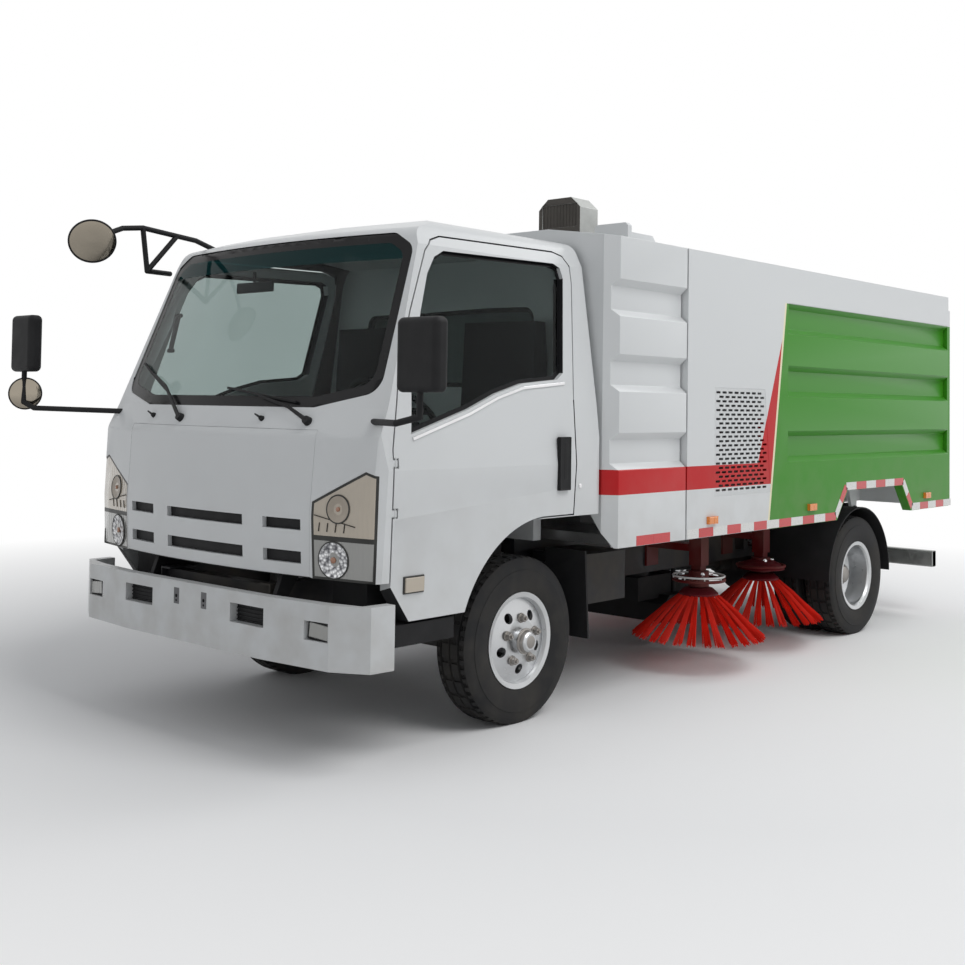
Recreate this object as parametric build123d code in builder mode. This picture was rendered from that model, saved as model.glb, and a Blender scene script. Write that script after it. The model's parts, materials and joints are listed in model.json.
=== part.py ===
from build123d import *
import os
from functools import cache

# Street sweeper truck: forward-control tilt cab, front equipment module, tipping dust
# hopper, four lifting side brushes and a suction nozzle. Millimetres.
# +X is forward, +Y the driver's (left) side, +Z up; the origin is on the ground at the
# middle of the truck's length and width.

os.makedirs("parts", exist_ok=True)

# ---------------------------------------------------------------- driving dimensions
FRONT_AXLE_X = 1629.0          # front axle ahead of the origin
WHEELBASE = 3360.0
AXLE_Z = 381.0                 # wheel centre above ground
TYRE_R = 387.5
TYRE_W = 200.0
FRONT_WHEEL_Y = 752.0
TWIN_INNER_Y = 600.0
TWIN_OUTER_Y = 830.0
KINGPIN_Y = 630.0
GAP = 7.5                      # running gap between panels that move apart
SEAT_GAP = 0.3                 # clearance of pieces that seat on each other
PIN_CLEARANCE = 0.3            # radial, pins in their eyes

RAIL_Y = 365.0                 # centre of a frame rail
RAIL_W = 70.0
RAIL_BOTTOM = 500.0
RAIL_TOP = 700.0
RAIL_T = 8.0
FRAME_FRONT = 1120.0           # these three are measured from the front axle
FRAME_REAR = -4350.0
SUBFRAME_FRONT = -470.0
SUBFRAME_H = 86.0

BODY_HALF_W = 1050.0
BODY_BOTTOM = 786.0
BODY_TOP = 2301.0
BODY_WALL = 60.0
ROOF_RISE = 60.0               # the roof sheet's crown over its side edges
ROOF_SLOPE_W = 420.0           # how far in from each side the crown rises
BAND_DEPTH = 38.0              # pressed-in side bands
BAND_FLAT = 116.0
BAND_SLOPE = 33.0
BAND_CENTRES = (2001.0, 1634.0, 1251.0)
MODULE_FRONT = -474.0
MODULE_REAR = -1071.0
HOPPER_FRONT = -1083.0
PANEL_REAR = -2165.0           # end of the flat panel, start of the banded sides
HOPPER_REAR = -4580.0
FLOOR_Z = 965.0                # underside of the load floor
FLOOR_T = 45.0
ARCH_HALF = 560.0              # wheel arch in the hopper's sides
ARCH_TOP_HALF = 410.0

CAB_TILT_X = 1130.0
CAB_TILT_Z = 620.0
TIP_X = -4270.0
TIP_Z = 745.0

REAR_AXLE_X = FRONT_AXLE_X - WHEELBASE


def ax(x):
    """Distance ahead of the front axle to the truck's own X."""
    return FRONT_AXLE_X + x


def save(piece, label):
    piece.label = label
    export_step(piece, f"parts/{label}.step")


def closed(*points):
    """Edges of the closed outline through these points."""
    with BuildLine() as outline:
        Polyline(*points, close=True)
    return outline.edges()


def side_outline(*points):
    """Closed outline of (ahead of front axle, height) pairs."""
    return closed(*[(ax(x), z) for x, z in points])


def bar_box(x, y, z, mode=Mode.ADD):
    """Box between limits x, y and z, x measured from the front axle."""
    with Locations((ax((x[0] + x[1]) / 2), (y[0] + y[1]) / 2, (z[0] + z[1]) / 2)):
        Box(x[1] - x[0], y[1] - y[0], z[1] - z[0], mode=mode)


# ---------------------------------------------------------------- ladder frame
RAIL_OUT = RAIL_Y + RAIL_W / 2
RAIL_IN = RAIL_Y - RAIL_W / 2
CROSS_T = 60.0
CROSS_Z = (600.0, 690.0)
CROSSMEMBERS = (1060.0, -930.0, -1330.0, -1700.0, -2340.0, -3240.0, -3800.0, -4310.0)
CAB_POST_X = -350.0
CAB_FLOOR_Z = 955.0
TILT_PIN_R = 16.0
TILT_BRACKET_Y = 430.0
TILT_PIN_END = 490.0
TOW_EYE = (-4385.0, 560.0)
TOW_EYE_R = 17.0
TOW_EYE_T = 25.0

RAIL_SECTION = ((RAIL_OUT, RAIL_BOTTOM), (RAIL_OUT, RAIL_TOP), (RAIL_IN, RAIL_TOP),
                (RAIL_IN, RAIL_TOP - RAIL_T), (RAIL_OUT - RAIL_T, RAIL_TOP - RAIL_T),
                (RAIL_OUT - RAIL_T, RAIL_BOTTOM + RAIL_T), (RAIL_IN, RAIL_BOTTOM + RAIL_T), (RAIL_IN, RAIL_BOTTOM))

# the rails, with the front tilt brackets and their pins
with BuildPart() as rails:
    with BuildSketch(Plane.YZ.offset(ax(FRAME_REAR))):
        make_face(closed(*RAIL_SECTION))
        mirror(about=Plane.YZ)
    extrude(amount=FRAME_FRONT - FRAME_REAR)
    for side in (1, -1):
        y = sorted((side * RAIL_OUT, side * TILT_BRACKET_Y))
        bar_box((CAB_TILT_X - 70, CAB_TILT_X + 30), y, (CAB_TILT_Z - 60, CAB_TILT_Z + 35))
        with BuildSketch(Plane.XZ.offset(-side * (TILT_BRACKET_Y - 10))):
            with Locations((ax(CAB_TILT_X), CAB_TILT_Z)):
                Circle(TILT_PIN_R)
        extrude(amount=-side * (TILT_PIN_END - TILT_BRACKET_Y + 10))

# what lies between and on the rails, each piece bolted to them
with BuildPart() as members:
    inner = RAIL_OUT - RAIL_T - SEAT_GAP
    for x in CROSSMEMBERS:
        bar_box((x - CROSS_T / 2, x + CROSS_T / 2), (-inner, inner), CROSS_Z)
    # rear cab mount: two posts and a bar with rubber pads under the cab floor
    for side in (1, -1):
        y = sorted((side * RAIL_IN, side * (RAIL_OUT - 10)))
        bar_box((CAB_POST_X - 30, CAB_POST_X + 30), y, (RAIL_TOP + SEAT_GAP, CAB_FLOOR_Z - 40))
    bar_box((CAB_POST_X - 40, CAB_POST_X + 40), (-RAIL_OUT, RAIL_OUT), (CAB_FLOOR_Z - 40, CAB_FLOOR_Z - SEAT_GAP))
    # body subframe on the rails
    for side in (1, -1):
        y = sorted((side * RAIL_IN, side * RAIL_OUT))
        bar_box((TIP_X + 10, SUBFRAME_FRONT), y, (RAIL_TOP + SEAT_GAP, RAIL_TOP + SUBFRAME_H - SEAT_GAP))
    # towing eye behind the last crossmember
    tail = CROSSMEMBERS[-1] - CROSS_T / 2 + 1
    with BuildSketch(Plane.XZ.offset(TOW_EYE_T / 2)) as tow:
        with Locations((ax(TOW_EYE[0]), TOW_EYE[1])):
            Circle(42)
            Circle(TOW_EYE_R, mode=Mode.SUBTRACT)
        make_face(side_outline((TOW_EYE[0] + 20, TOW_EYE[1] - 30), (TOW_EYE[0] + 20, TOW_EYE[1] + 60),
                               (tail, TOW_EYE[1] + 110), (tail, TOW_EYE[1] + 45)))
    extrude(tow.sketch, amount=-TOW_EYE_T)

with BuildPart() as ladder_frame:
    add(rails.part)
    add(members.part)
save(ladder_frame.part, "ladder_frame")

# ---------------------------------------------------------------- front axle and steering
BEAM_W = 60.0
BEAM_DROP = 55.0
EYE_R = 34.0
EYE_H = (AXLE_Z - 50.0, AXLE_Z + 50.0)
KINGPIN_R = 15.0
SPRING_PAD_Y = 365.0

with BuildPart() as front_axle:
    with BuildSketch(Plane.YZ.offset(ax(-BEAM_W / 2))):
        with BuildLine():
            Polyline(
                (-KINGPIN_Y, EYE_H[0] + 6), (-KINGPIN_Y + 45, EYE_H[0] + 6), (-KINGPIN_Y + 150, AXLE_Z - BEAM_DROP - 40),
                (KINGPIN_Y - 150, AXLE_Z - BEAM_DROP - 40), (KINGPIN_Y - 45, EYE_H[0] + 6), (KINGPIN_Y, EYE_H[0] + 6),
                (KINGPIN_Y, EYE_H[1] - 6), (KINGPIN_Y - 110, AXLE_Z - BEAM_DROP + 45),
                (-KINGPIN_Y + 110, AXLE_Z - BEAM_DROP + 45), (-KINGPIN_Y, EYE_H[1] - 6), close=True)
        make_face()
    extrude(amount=BEAM_W)
    for side in (1, -1):
        with BuildSketch(Plane.XY.offset(EYE_H[0])):
            with Locations((FRONT_AXLE_X, side * KINGPIN_Y)):
                Circle(EYE_R)
        extrude(amount=EYE_H[1] - EYE_H[0])
        # the beam ends round the eye
        y = sorted((side * KINGPIN_Y, side * (KINGPIN_Y + 80)))
        with BuildSketch(Plane.XY.offset(EYE_H[0] - 1)):
            with Locations((FRONT_AXLE_X, side * (KINGPIN_Y + 60))):
                Rectangle(200, 120)
            with Locations((FRONT_AXLE_X, side * KINGPIN_Y)):
                Circle(EYE_R, mode=Mode.SUBTRACT)
        extrude(amount=EYE_H[1] - EYE_H[0] + 2, mode=Mode.SUBTRACT)
        with BuildSketch(Plane.XY.offset(EYE_H[0] - 1)):
            with Locations((FRONT_AXLE_X, side * KINGPIN_Y)):
                Circle(KINGPIN_R + PIN_CLEARANCE)
        extrude(amount=EYE_H[1] - EYE_H[0] + 2, mode=Mode.SUBTRACT)
        bar_box((-60, 60), sorted((side * (SPRING_PAD_Y - 35), side * (SPRING_PAD_Y + 35))),
                (AXLE_Z - BEAM_DROP + 35, AXLE_Z - BEAM_DROP + 60))
save(front_axle.part, "front_axle")

SPINDLE_R = 22.0
HUB_INNER_Y = 700.0
SPINDLE_END = 830.0
YOKE_GAP = 6.0
ARM_X = -170.0                 # track rod ends behind the axle
ARM_Y = KINGPIN_Y               # level with the kingpin, so both wheels steer alike
ARM_Z = AXLE_Z - 68.0
BALL_PIN_R = 9.0


def knuckle(side, label):
    """Yoke round the axle eye, kingpin, spindle, back plate and steering arm."""
    with BuildPart() as piece:
        for z0, z1 in ((EYE_H[0] - YOKE_GAP - 30, EYE_H[0] - YOKE_GAP), (EYE_H[1] + YOKE_GAP, EYE_H[1] + YOKE_GAP + 30)):
            with BuildSketch(Plane.XY.offset(z0)):
                with Locations((FRONT_AXLE_X, side * KINGPIN_Y)):
                    Circle(EYE_R)
                with Locations((FRONT_AXLE_X, side * (KINGPIN_Y + 30))):
                    Rectangle(2 * EYE_R, 60)
            extrude(amount=z1 - z0)
        with BuildSketch(Plane.XY.offset(EYE_H[0] - YOKE_GAP - 30)):
            with Locations((FRONT_AXLE_X, side * KINGPIN_Y)):
                Circle(KINGPIN_R)
        extrude(amount=EYE_H[1] - EYE_H[0] + 2 * YOKE_GAP + 60)
        y = sorted((side * (KINGPIN_Y + EYE_R + YOKE_GAP), side * (KINGPIN_Y + 60)))
        bar_box((-EYE_R, EYE_R), y, (EYE_H[0] - YOKE_GAP - 30, EYE_H[1] + YOKE_GAP + 30))
        with BuildSketch(Plane.XZ.offset(-side * (KINGPIN_Y + 50))):
            with Locations((FRONT_AXLE_X, AXLE_Z)):
                Circle(130)
        extrude(amount=-side * 10)
        with BuildSketch(Plane.XZ.offset(-side * (KINGPIN_Y + 50))):
            with Locations((FRONT_AXLE_X, AXLE_Z)):
                Circle(SPINDLE_R)
        extrude(amount=-side * (SPINDLE_END - KINGPIN_Y - 50))
        with BuildSketch(Plane.XY.offset(ARM_Z - 12)):
            with BuildLine():
                Polyline((ax(-20), side * (KINGPIN_Y - 20)), (ax(-20), side * (KINGPIN_Y + 20)),
                         (ax(ARM_X), side * (ARM_Y + 18)), (ax(ARM_X), side * (ARM_Y - 18)), close=True)
            make_face()
            with Locations((ax(ARM_X), side * ARM_Y)):
                Circle(18)
                Circle(BALL_PIN_R + PIN_CLEARANCE, mode=Mode.SUBTRACT)
        extrude(amount=24)
    save(piece.part, label)


knuckle(1, "knuckle_left")
knuckle(-1, "knuckle_right")

with BuildPart() as track_rod:
    for side in (1, -1):
        with BuildSketch(Plane.XY.offset(ARM_Z - 12 - 2 - 30)):
            with Locations((ax(ARM_X), side * ARM_Y)):
                Circle(16)
        extrude(amount=30)
        with BuildSketch(Plane.XY.offset(ARM_Z - 16)):
            with Locations((ax(ARM_X), side * ARM_Y)):
                Circle(BALL_PIN_R)
        extrude(amount=34)
    with BuildSketch(Plane.XZ.offset(-ARM_Y)):
        with Locations((ax(ARM_X), ARM_Z - 29)):
            Circle(12)
    extrude(amount=2 * ARM_Y)
save(track_rod.part, "track_rod")

# ---------------------------------------------------------------- rear axle and springs
HOUSING_R = 58.0
HOUSING_END = 495.0
REAR_SPINDLE_R = 28.0
REAR_SPINDLE_END = 790.0
DIFF_R = 175.0
PINION_X = 260.0
PROP_Z = 400.0

with BuildPart() as rear_axle:
    with BuildSketch(Plane.XZ.offset(-HOUSING_END)):
        with Locations((REAR_AXLE_X, AXLE_Z)):
            Circle(HOUSING_R)
    extrude(amount=2 * HOUSING_END)
    with BuildSketch(Plane.XZ.offset(-REAR_SPINDLE_END)):
        with Locations((REAR_AXLE_X, AXLE_Z)):
            Circle(REAR_SPINDLE_R)
    extrude(amount=2 * REAR_SPINDLE_END)
    with BuildSketch(Plane.YZ.offset(REAR_AXLE_X)):
        with BuildLine():
            Polyline((0, AXLE_Z - DIFF_R), (DIFF_R, AXLE_Z - HOUSING_R), (DIFF_R, AXLE_Z), (0, AXLE_Z), close=True)
        make_face()
    revolve(axis=Axis((REAR_AXLE_X, 0, AXLE_Z), (0, 1, 0)), revolution_arc=360)
    mirror(about=Plane.XZ)
    with BuildSketch(Plane.YZ.offset(REAR_AXLE_X)):
        with Locations((0, PROP_Z - 10)):
            Circle(85)
    extrude(amount=PINION_X, taper=8)
    for side in (1, -1):
        y = sorted((side * 405, side * 475))
        bar_box((-WHEELBASE - 60, -WHEELBASE + 60), y, (AXLE_Z, AXLE_Z + HOUSING_R + 14))
save(rear_axle.part, "rear_axle")

LEAF_T = 14.0
#         name     centre x     y     seat z                            end z  half length  leaves
SPRINGS = (("front", 0.0, 365.0, AXLE_Z - BEAM_DROP + 60 + SEAT_GAP, 452.0, 600.0, 3),
           ("rear", -WHEELBASE, 440.0, AXLE_Z + HOUSING_R + 14 + SEAT_GAP, 560.0, 640.0, 5))

with BuildPart() as leaf_springs:
    for _, cx, cy, seat, end, half, leaves in SPRINGS:
        for side in (1, -1):
            for leaf in range(leaves):
                reach = half * (1 - 0.16 * (leaves - 1 - leaf))
                rise = (end - seat) * (reach / half) ** 2
                low = seat + LEAF_T * leaf
                with BuildSketch(Plane.XZ.offset(-(side * cy + 32.5))):
                    with BuildLine():
                        ThreePointArc((ax(cx - reach), low + rise), (ax(cx), low), (ax(cx + reach), low + rise))
                        Line((ax(cx + reach), low + rise), (ax(cx + reach), low + rise + LEAF_T))
                        ThreePointArc((ax(cx + reach), low + rise + LEAF_T), (ax(cx), low + LEAF_T), (ax(cx - reach), low + rise + LEAF_T))
                        Line((ax(cx - reach), low + rise + LEAF_T), (ax(cx - reach), low + rise))
                    make_face()
                extrude(amount=65)
            # hangers at both ends, up to the rail
            top = RAIL_BOTTOM - SEAT_GAP if cy < RAIL_OUT else RAIL_TOP - 30
            for end_x in (cx - half, cx + half):
                y = sorted((side * (cy - 20), side * (cy + 20)))
                if cy > RAIL_OUT:
                    y = sorted((side * (RAIL_OUT + SEAT_GAP), side * (cy + 20)))
                bar_box((end_x - 25, end_x + 25), y, (end, top))
save(leaf_springs.part, "leaf_springs")

# ---------------------------------------------------------------- engine and driveline
ENGINE = ((-415.0, 420.0), (-270.0, 270.0), (470.0, 905.0))
ENGINE_MOUNTS = (-330.0, 330.0)
GEARBOX_REAR = -860.0
GEARBOX_Z = 530.0
RADIATOR = ((470.0, 560.0), (-300.0, 300.0), (510.0, 905.0))

with BuildPart() as engine:
    bar_box(*ENGINE)
    bar_box((ENGINE[0][1] - 1, RADIATOR[0][0] + 1), (-90, 90), (650, 800))
    bar_box(*RADIATOR)
    for side in (1, -1):
        for x in ENGINE_MOUNTS:
            bar_box((x - 35, x + 35), sorted((side * (ENGINE[1][1] - 5), side * (RAIL_OUT - RAIL_T - SEAT_GAP))), (540, 590))
    with BuildSketch(Plane.YZ.offset(ax(ENGINE[0][0]))):
        with Locations((0, GEARBOX_Z + 40)):
            Circle(170)
    extrude(amount=GEARBOX_REAR - ENGINE[0][0], taper=12)
save(engine.part, "engine")

PROP_R = 42.0
PROP_FRONT = GEARBOX_REAR - 3.2
PROP_REAR = -WHEELBASE + PINION_X + SEAT_GAP

with BuildPart() as propshaft:
    start = Vector(ax(PROP_FRONT), 0, GEARBOX_Z + 20)
    end = Vector(ax(PROP_REAR), 0, PROP_Z)
    with BuildSketch(Plane(origin=start, x_dir=(0, 1, 0), z_dir=end - start)):
        Circle(PROP_R)
    extrude(amount=(end - start).length - 3)
save(propshaft.part, "propshaft")

TANK = ((-1110.0, -560.0), (-850.0, -440.0), (440.0, 730.0))
BATTERY = ((-960.0, -560.0), (440.0, 760.0), (470.0, 720.0))

with BuildPart() as fuel_tank:
    bar_box(*TANK)
    fillet(fuel_tank.edges().filter_by(Axis.X), 60)
    for x in (TANK[0][0] + 120, TANK[0][1] - 120):
        bar_box((x - 25, x + 25), (TANK[1][1] - 80, -RAIL_OUT - SEAT_GAP), (TANK[2][1] - 130, TANK[2][1] - 70))
save(fuel_tank.part, "fuel_tank")

with BuildPart() as battery_box:
    bar_box(*BATTERY)
    fillet(battery_box.edges().filter_by(Axis.Z), 20)
    bar_box((BATTERY[0][0] + 60, BATTERY[0][1] - 60), (RAIL_OUT + SEAT_GAP, BATTERY[1][0] + 10), (BATTERY[2][0] + 60, BATTERY[2][1] - 60))
save(battery_box.part, "battery_box")

# ---------------------------------------------------------------- bumper, mudguards, underrun
BUMPER_FRONT = 1240.0
BUMPER_HALF = 1030.0
BUMPER_Z = (417.0, 675.0)
BUMPER_T = 50.0
BUMPER_END = 1000.0
PLATE_HOLE_Y = 100.0           # number-plate bracket holes
PLATE_HOLE_Z = 610.0
PLATE_HOLE_R = 5.5


def bumper_plan(inset):
    """Plan outline of the bumper, its outer face moved in by inset."""
    half = BUMPER_HALF - inset
    front = BUMPER_FRONT - inset
    return closed((ax(BUMPER_END), half), (ax(1120), half - 10), (ax(front - 35), half - 160),
                  (ax(front), 480), (ax(front), -480), (ax(front - 35), 160 - half),
                  (ax(1120), 10 - half), (ax(BUMPER_END), -half))


with BuildPart() as front_bumper:
    with BuildSketch(Plane.XY.offset(BUMPER_Z[0])):
        make_face(bumper_plan(0))
    extrude(amount=BUMPER_Z[1] - BUMPER_Z[0])
    with BuildSketch(Plane.XY.offset(BUMPER_Z[0] - 1)):
        make_face(bumper_plan(BUMPER_T))
    extrude(amount=BUMPER_Z[1] - BUMPER_Z[0] + 2, mode=Mode.SUBTRACT)
    # twin openings and the fog lamp recesses
    for side in (1, -1):
        with BuildSketch(Plane.YZ.offset(ax(BUMPER_FRONT - BUMPER_T - 20))):
            with Locations((side * 395, 585)):
                Rectangle(220, 80)
            with Locations((side * 800, 566)):
                Rectangle(130, 76)
            with Locations((side * PLATE_HOLE_Y, PLATE_HOLE_Z)):
                Circle(PLATE_HOLE_R)
        extrude(amount=BUMPER_T + 40, mode=Mode.SUBTRACT)
    # stays from the frame ends
    for side in (1, -1):
        bar_box((FRAME_FRONT + SEAT_GAP, BUMPER_FRONT - BUMPER_T + 5), sorted((side * RAIL_IN, side * RAIL_OUT)), (560, 640))
save(front_bumper.part, "front_bumper")

MUDGUARD_R = 450.0
MUDGUARD_T = 8.0
MUDGUARD_Y = (480.0, 945.0)

with BuildPart() as rear_mudguards:
    for side in (1, -1):
        with BuildSketch(Plane.XZ.offset(-side * MUDGUARD_Y[0])):
            with Locations((REAR_AXLE_X, AXLE_Z)):
                Circle(MUDGUARD_R)
                Circle(MUDGUARD_R - MUDGUARD_T, mode=Mode.SUBTRACT)
            with Locations((REAR_AXLE_X, AXLE_Z - 300)):
                Rectangle(2 * MUDGUARD_R + 20, 600, mode=Mode.SUBTRACT)
        extrude(amount=-side * (MUDGUARD_Y[1] - MUDGUARD_Y[0]))
        for x in (-WHEELBASE - 330, -WHEELBASE + 330):
            bar_box((x - 20, x + 20), sorted((side * (RAIL_OUT + SEAT_GAP), side * (MUDGUARD_Y[0] + 20))), (660, 690))
save(rear_mudguards.part, "rear_mudguards")

FRONT_GUARD_X = -480.0
with BuildPart() as front_mudguards:
    for side in (1, -1):
        with BuildSketch(Plane.XZ.offset(-side * 620)):
            with BuildLine():
                Polyline((ax(FRONT_GUARD_X + 30), 760), (ax(FRONT_GUARD_X + 18), 760),
                         (ax(FRONT_GUARD_X - 12), 330), (ax(FRONT_GUARD_X), 330), close=True)
            make_face()
        extrude(amount=-side * 250)
        bar_box((FRONT_GUARD_X - 14, FRONT_GUARD_X + 22), sorted((side * (RAIL_OUT + SEAT_GAP), side * 640)), (640, 680))
save(front_mudguards.part, "front_mudguards")

UNDERRUN = ((-4530.0, -4460.0), (-980.0, 980.0), (345.0, 460.0))
with BuildPart() as underrun_bar:
    bar_box(*UNDERRUN)
    fillet(underrun_bar.edges().filter_by(Axis.Y), 12)
    for side in (1, -1):
        y = sorted((side * RAIL_IN, side * RAIL_OUT))
        with BuildSketch(Plane.XZ.offset(-y[0])):
            with BuildLine():
                Polyline((ax(FRAME_REAR + 60), RAIL_BOTTOM - SEAT_GAP), (ax(FRAME_REAR - 90), RAIL_BOTTOM - SEAT_GAP),
                         (ax(UNDERRUN[0][1] - 5), UNDERRUN[2][0] + 60), (ax(UNDERRUN[0][1] - 5), UNDERRUN[2][0]),
                         (ax(FRAME_REAR + 20), RAIL_BOTTOM - 80), close=True)
            make_face()
        extrude(amount=-(y[1] - y[0]))
save(underrun_bar.part, "underrun_bar")

with BuildPart() as tail_lamps:
    for side in (1, -1):
        y = sorted((side * 560, side * 900))
        bar_box((UNDERRUN[0][0] - 40, UNDERRUN[0][0] - SEAT_GAP), y, (360, 445))
    fillet(tail_lamps.edges().filter_by(Axis.X), 10)
save(tail_lamps.part, "tail_lamps")

# ---------------------------------------------------------------- wheels
FLANGE_R = 222.0
BARREL_R = 203.0
BARREL_T = 11.0
RIM_HALF = 88.0
HUB_R = 70.0
DISC_T = 14.0
HAND_HOLE_R = 24.0
HAND_HOLE_PCD_R = 132.0
HUB_END_Y = 905.0
TWIN_HUB_END = 815.0


def tyre_face(y):
    """Half section of a tyre centred at distance y from the truck's middle."""
    w = TYRE_W / 2
    bead = BARREL_R + SEAT_GAP
    with BuildLine() as outline:
        Line((bead, y - w * 0.69), (bead, y + w * 0.69))
        Line((bead, y + w * 0.69), (FLANGE_R + 8, y + w * 0.80))
        ThreePointArc((FLANGE_R + 8, y + w * 0.80), (TYRE_R * 0.80, y + w), (TYRE_R - 22, y + w * 0.86))
        Line((TYRE_R - 22, y + w * 0.86), (TYRE_R, y + w * 0.68))
        Line((TYRE_R, y + w * 0.68), (TYRE_R, y - w * 0.68))
        Line((TYRE_R, y - w * 0.68), (TYRE_R - 22, y - w * 0.86))
        ThreePointArc((TYRE_R - 22, y - w * 0.86), (TYRE_R * 0.80, y - w), (FLANGE_R + 8, y - w * 0.80))
        Line((FLANGE_R + 8, y - w * 0.80), (bead, y - w * 0.69))
    return outline.edges()


def barrel_face(y):
    """Half section of a rim barrel with its two flanges."""
    w = TYRE_W / 2 * 0.80
    return closed(
        (BARREL_R, y - w * 0.88), (FLANGE_R, y - w - 4), (FLANGE_R, y - w - 10), (BARREL_R - 4, y - w - 6),
        (BARREL_R - BARREL_T, y - w + 8), (BARREL_R - BARREL_T, y + w - 8),
        (BARREL_R - 4, y + w + 6), (FLANGE_R, y + w + 10), (FLANGE_R, y + w + 4), (BARREL_R, y + w * 0.88))


def wheel_plane(x, side):
    """Section plane through the wheel's axis: local x is the radius, local y points outboard."""
    return Plane(origin=(x, 0, AXLE_Z), x_dir=(1, 0, 0), z_dir=(0, 0, side))


def wheel_axis(x):
    return Axis((x, 0, AXLE_Z), (0, 1, 0))


def hand_holes(x, side, y0, y1):
    with BuildSketch(Plane.XZ.offset(-side * y0)) as holes:
        with Locations((x, AXLE_Z)):
            with PolarLocations(HAND_HOLE_PCD_R, 5, start_angle=54):
                Circle(HAND_HOLE_R)
    extrude(holes.sketch, amount=-side * (y1 - y0), mode=Mode.SUBTRACT)


def front_wheel(side, name):
    with BuildPart() as tyre:
        with BuildSketch(wheel_plane(FRONT_AXLE_X, side)):
            make_face(tyre_face(FRONT_WHEEL_Y))
        revolve(axis=wheel_axis(FRONT_AXLE_X))
    save(tyre.part, f"tyre_{name}")
    with BuildPart() as rim:
        with BuildSketch(wheel_plane(FRONT_AXLE_X, side)):
            make_face(barrel_face(FRONT_WHEEL_Y))
        revolve(axis=wheel_axis(FRONT_AXLE_X))
        face_y = FRONT_WHEEL_Y + 92
        with BuildSketch(wheel_plane(FRONT_AXLE_X, side)):
            with BuildLine():
                Polyline((SPINDLE_R + PIN_CLEARANCE, HUB_INNER_Y), (HUB_R, HUB_INNER_Y), (HUB_R, face_y - DISC_T),
                         (95, face_y - DISC_T), (BARREL_R - BARREL_T - 10, face_y - 50), (BARREL_R - BARREL_T + 2, face_y - 50),
                         (BARREL_R - BARREL_T + 2, face_y - 30), (100, face_y), (50, face_y), (46, HUB_END_Y - 8),
                         (38, HUB_END_Y), (0, HUB_END_Y), (0, SPINDLE_END + 4), (SPINDLE_R + PIN_CLEARANCE, SPINDLE_END + 4), close=True)
            make_face()
        revolve(axis=wheel_axis(FRONT_AXLE_X))
        hand_holes(FRONT_AXLE_X, side, face_y - 80, face_y + 20)
    save(rim.part, f"rim_{name}")


def rear_wheels(side, name):
    with BuildPart() as tyre:
        with BuildSketch(wheel_plane(REAR_AXLE_X, side)):
            make_face(tyre_face(TWIN_INNER_Y))
        revolve(axis=wheel_axis(REAR_AXLE_X))
        with BuildSketch(wheel_plane(REAR_AXLE_X, side)):
            make_face(tyre_face(TWIN_OUTER_Y))
        revolve(axis=wheel_axis(REAR_AXLE_X))
    save(tyre.part, f"tyres_{name}")
    mid = (TWIN_INNER_Y + TWIN_OUTER_Y) / 2
    hub_y = HOUSING_END + 6
    bore = REAR_SPINDLE_R + PIN_CLEARANCE
    with BuildPart() as rim:
        for y in (TWIN_INNER_Y, TWIN_OUTER_Y):
            with BuildSketch(wheel_plane(REAR_AXLE_X, side)):
                make_face(barrel_face(y))
            revolve(axis=wheel_axis(REAR_AXLE_X))
        with BuildSketch(wheel_plane(REAR_AXLE_X, side)):
            with BuildLine():
                Polyline((bore, hub_y), (150, hub_y), (150, hub_y + 90), (95, hub_y + 100), (95, mid - DISC_T),
                         (120, mid - DISC_T), (BARREL_R - BARREL_T + 2, mid - 62), (BARREL_R - BARREL_T + 2, mid - 48),
                         (130, mid), (BARREL_R - BARREL_T + 2, mid + 48), (BARREL_R - BARREL_T + 2, mid + 62),
                         (120, mid + DISC_T), (72, mid + DISC_T), (66, TWIN_HUB_END), (0, TWIN_HUB_END),
                         (0, REAR_SPINDLE_END + 4), (bore, REAR_SPINDLE_END + 4), close=True)
            make_face()
        revolve(axis=wheel_axis(REAR_AXLE_X))
        hand_holes(REAR_AXLE_X, side, mid - 80, mid + 80)
    save(rim.part, f"rims_{name}")


for side, hand in ((1, "left"), (-1, "right")):
    front_wheel(side, f"front_{hand}")
    rear_wheels(side, f"rear_{hand}")


# ---------------------------------------------------------------- cab
CAB_WALL = 45.0
FLOOR_SHEET = 30.0
DOOR_T = 60.0
DOOR_SKIN = 20.0               # thickness of the door's outer layer
DOOR_STEP = 14.0               # its inner part is that much smaller all round
HINGE_X = 975.0
HINGE_Y = 992.0
HINGE_Z = (1030.0, 1230.0)
HINGE_R = 8.0
HINGE_H = 26.0
HINGE_PIN_R = 4.0
CAB_HALF_W = 1000.0
CAB_REAR = -400.0
CAB_BEHIND = 700.0
CAB_BOX = 3000.0               # longer than any cab form, for cutting prisms
CAB_SILL_Z = 590.0
CAB_FRONT_Z = 755.0
FOOTWELL_REAR = 620.0
ARCH_R = 585.0
def both_sides(points):
    """Outline given by its left half, completed about the middle."""
    return (*points, *[(-y, z) for y, z in reversed(points)])


FRONT_BEND_R = 4300.0          # the whole front is bent to this radius in plan
SHOULDER_R = 110.0             # rounding of the roof's sides
CORNER_R = 95.0                # rounding of the front's lower corners
BROW_R = 90.0                  # rounding over the windscreen
#           ahead of the front axle, height, corner radius
CAB_SIDE = ((-CAB_BEHIND, CAB_FLOOR_Z, 0), (-CAB_BEHIND, 2262, 0), (CAB_REAR, 2262, 0), (100, 2292, 0), (600, 2284, 0),
            (812, 2222, BROW_R), (1115, 1448, 0), (1172, 1330, 60), (1190, 1000, 0), (1178, CAB_FRONT_Z, 0),
            (1120, CAB_FRONT_Z, 0), (1000, CAB_SILL_Z, 0), (-100, CAB_SILL_Z, 0))
#            half width, height: the sides lean in above the belt line
CAB_FRONT = ((985, 560), (CAB_HALF_W, 1200), (968, 1480), (868, 2150), (812, 2262), (500, 2330))


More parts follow.
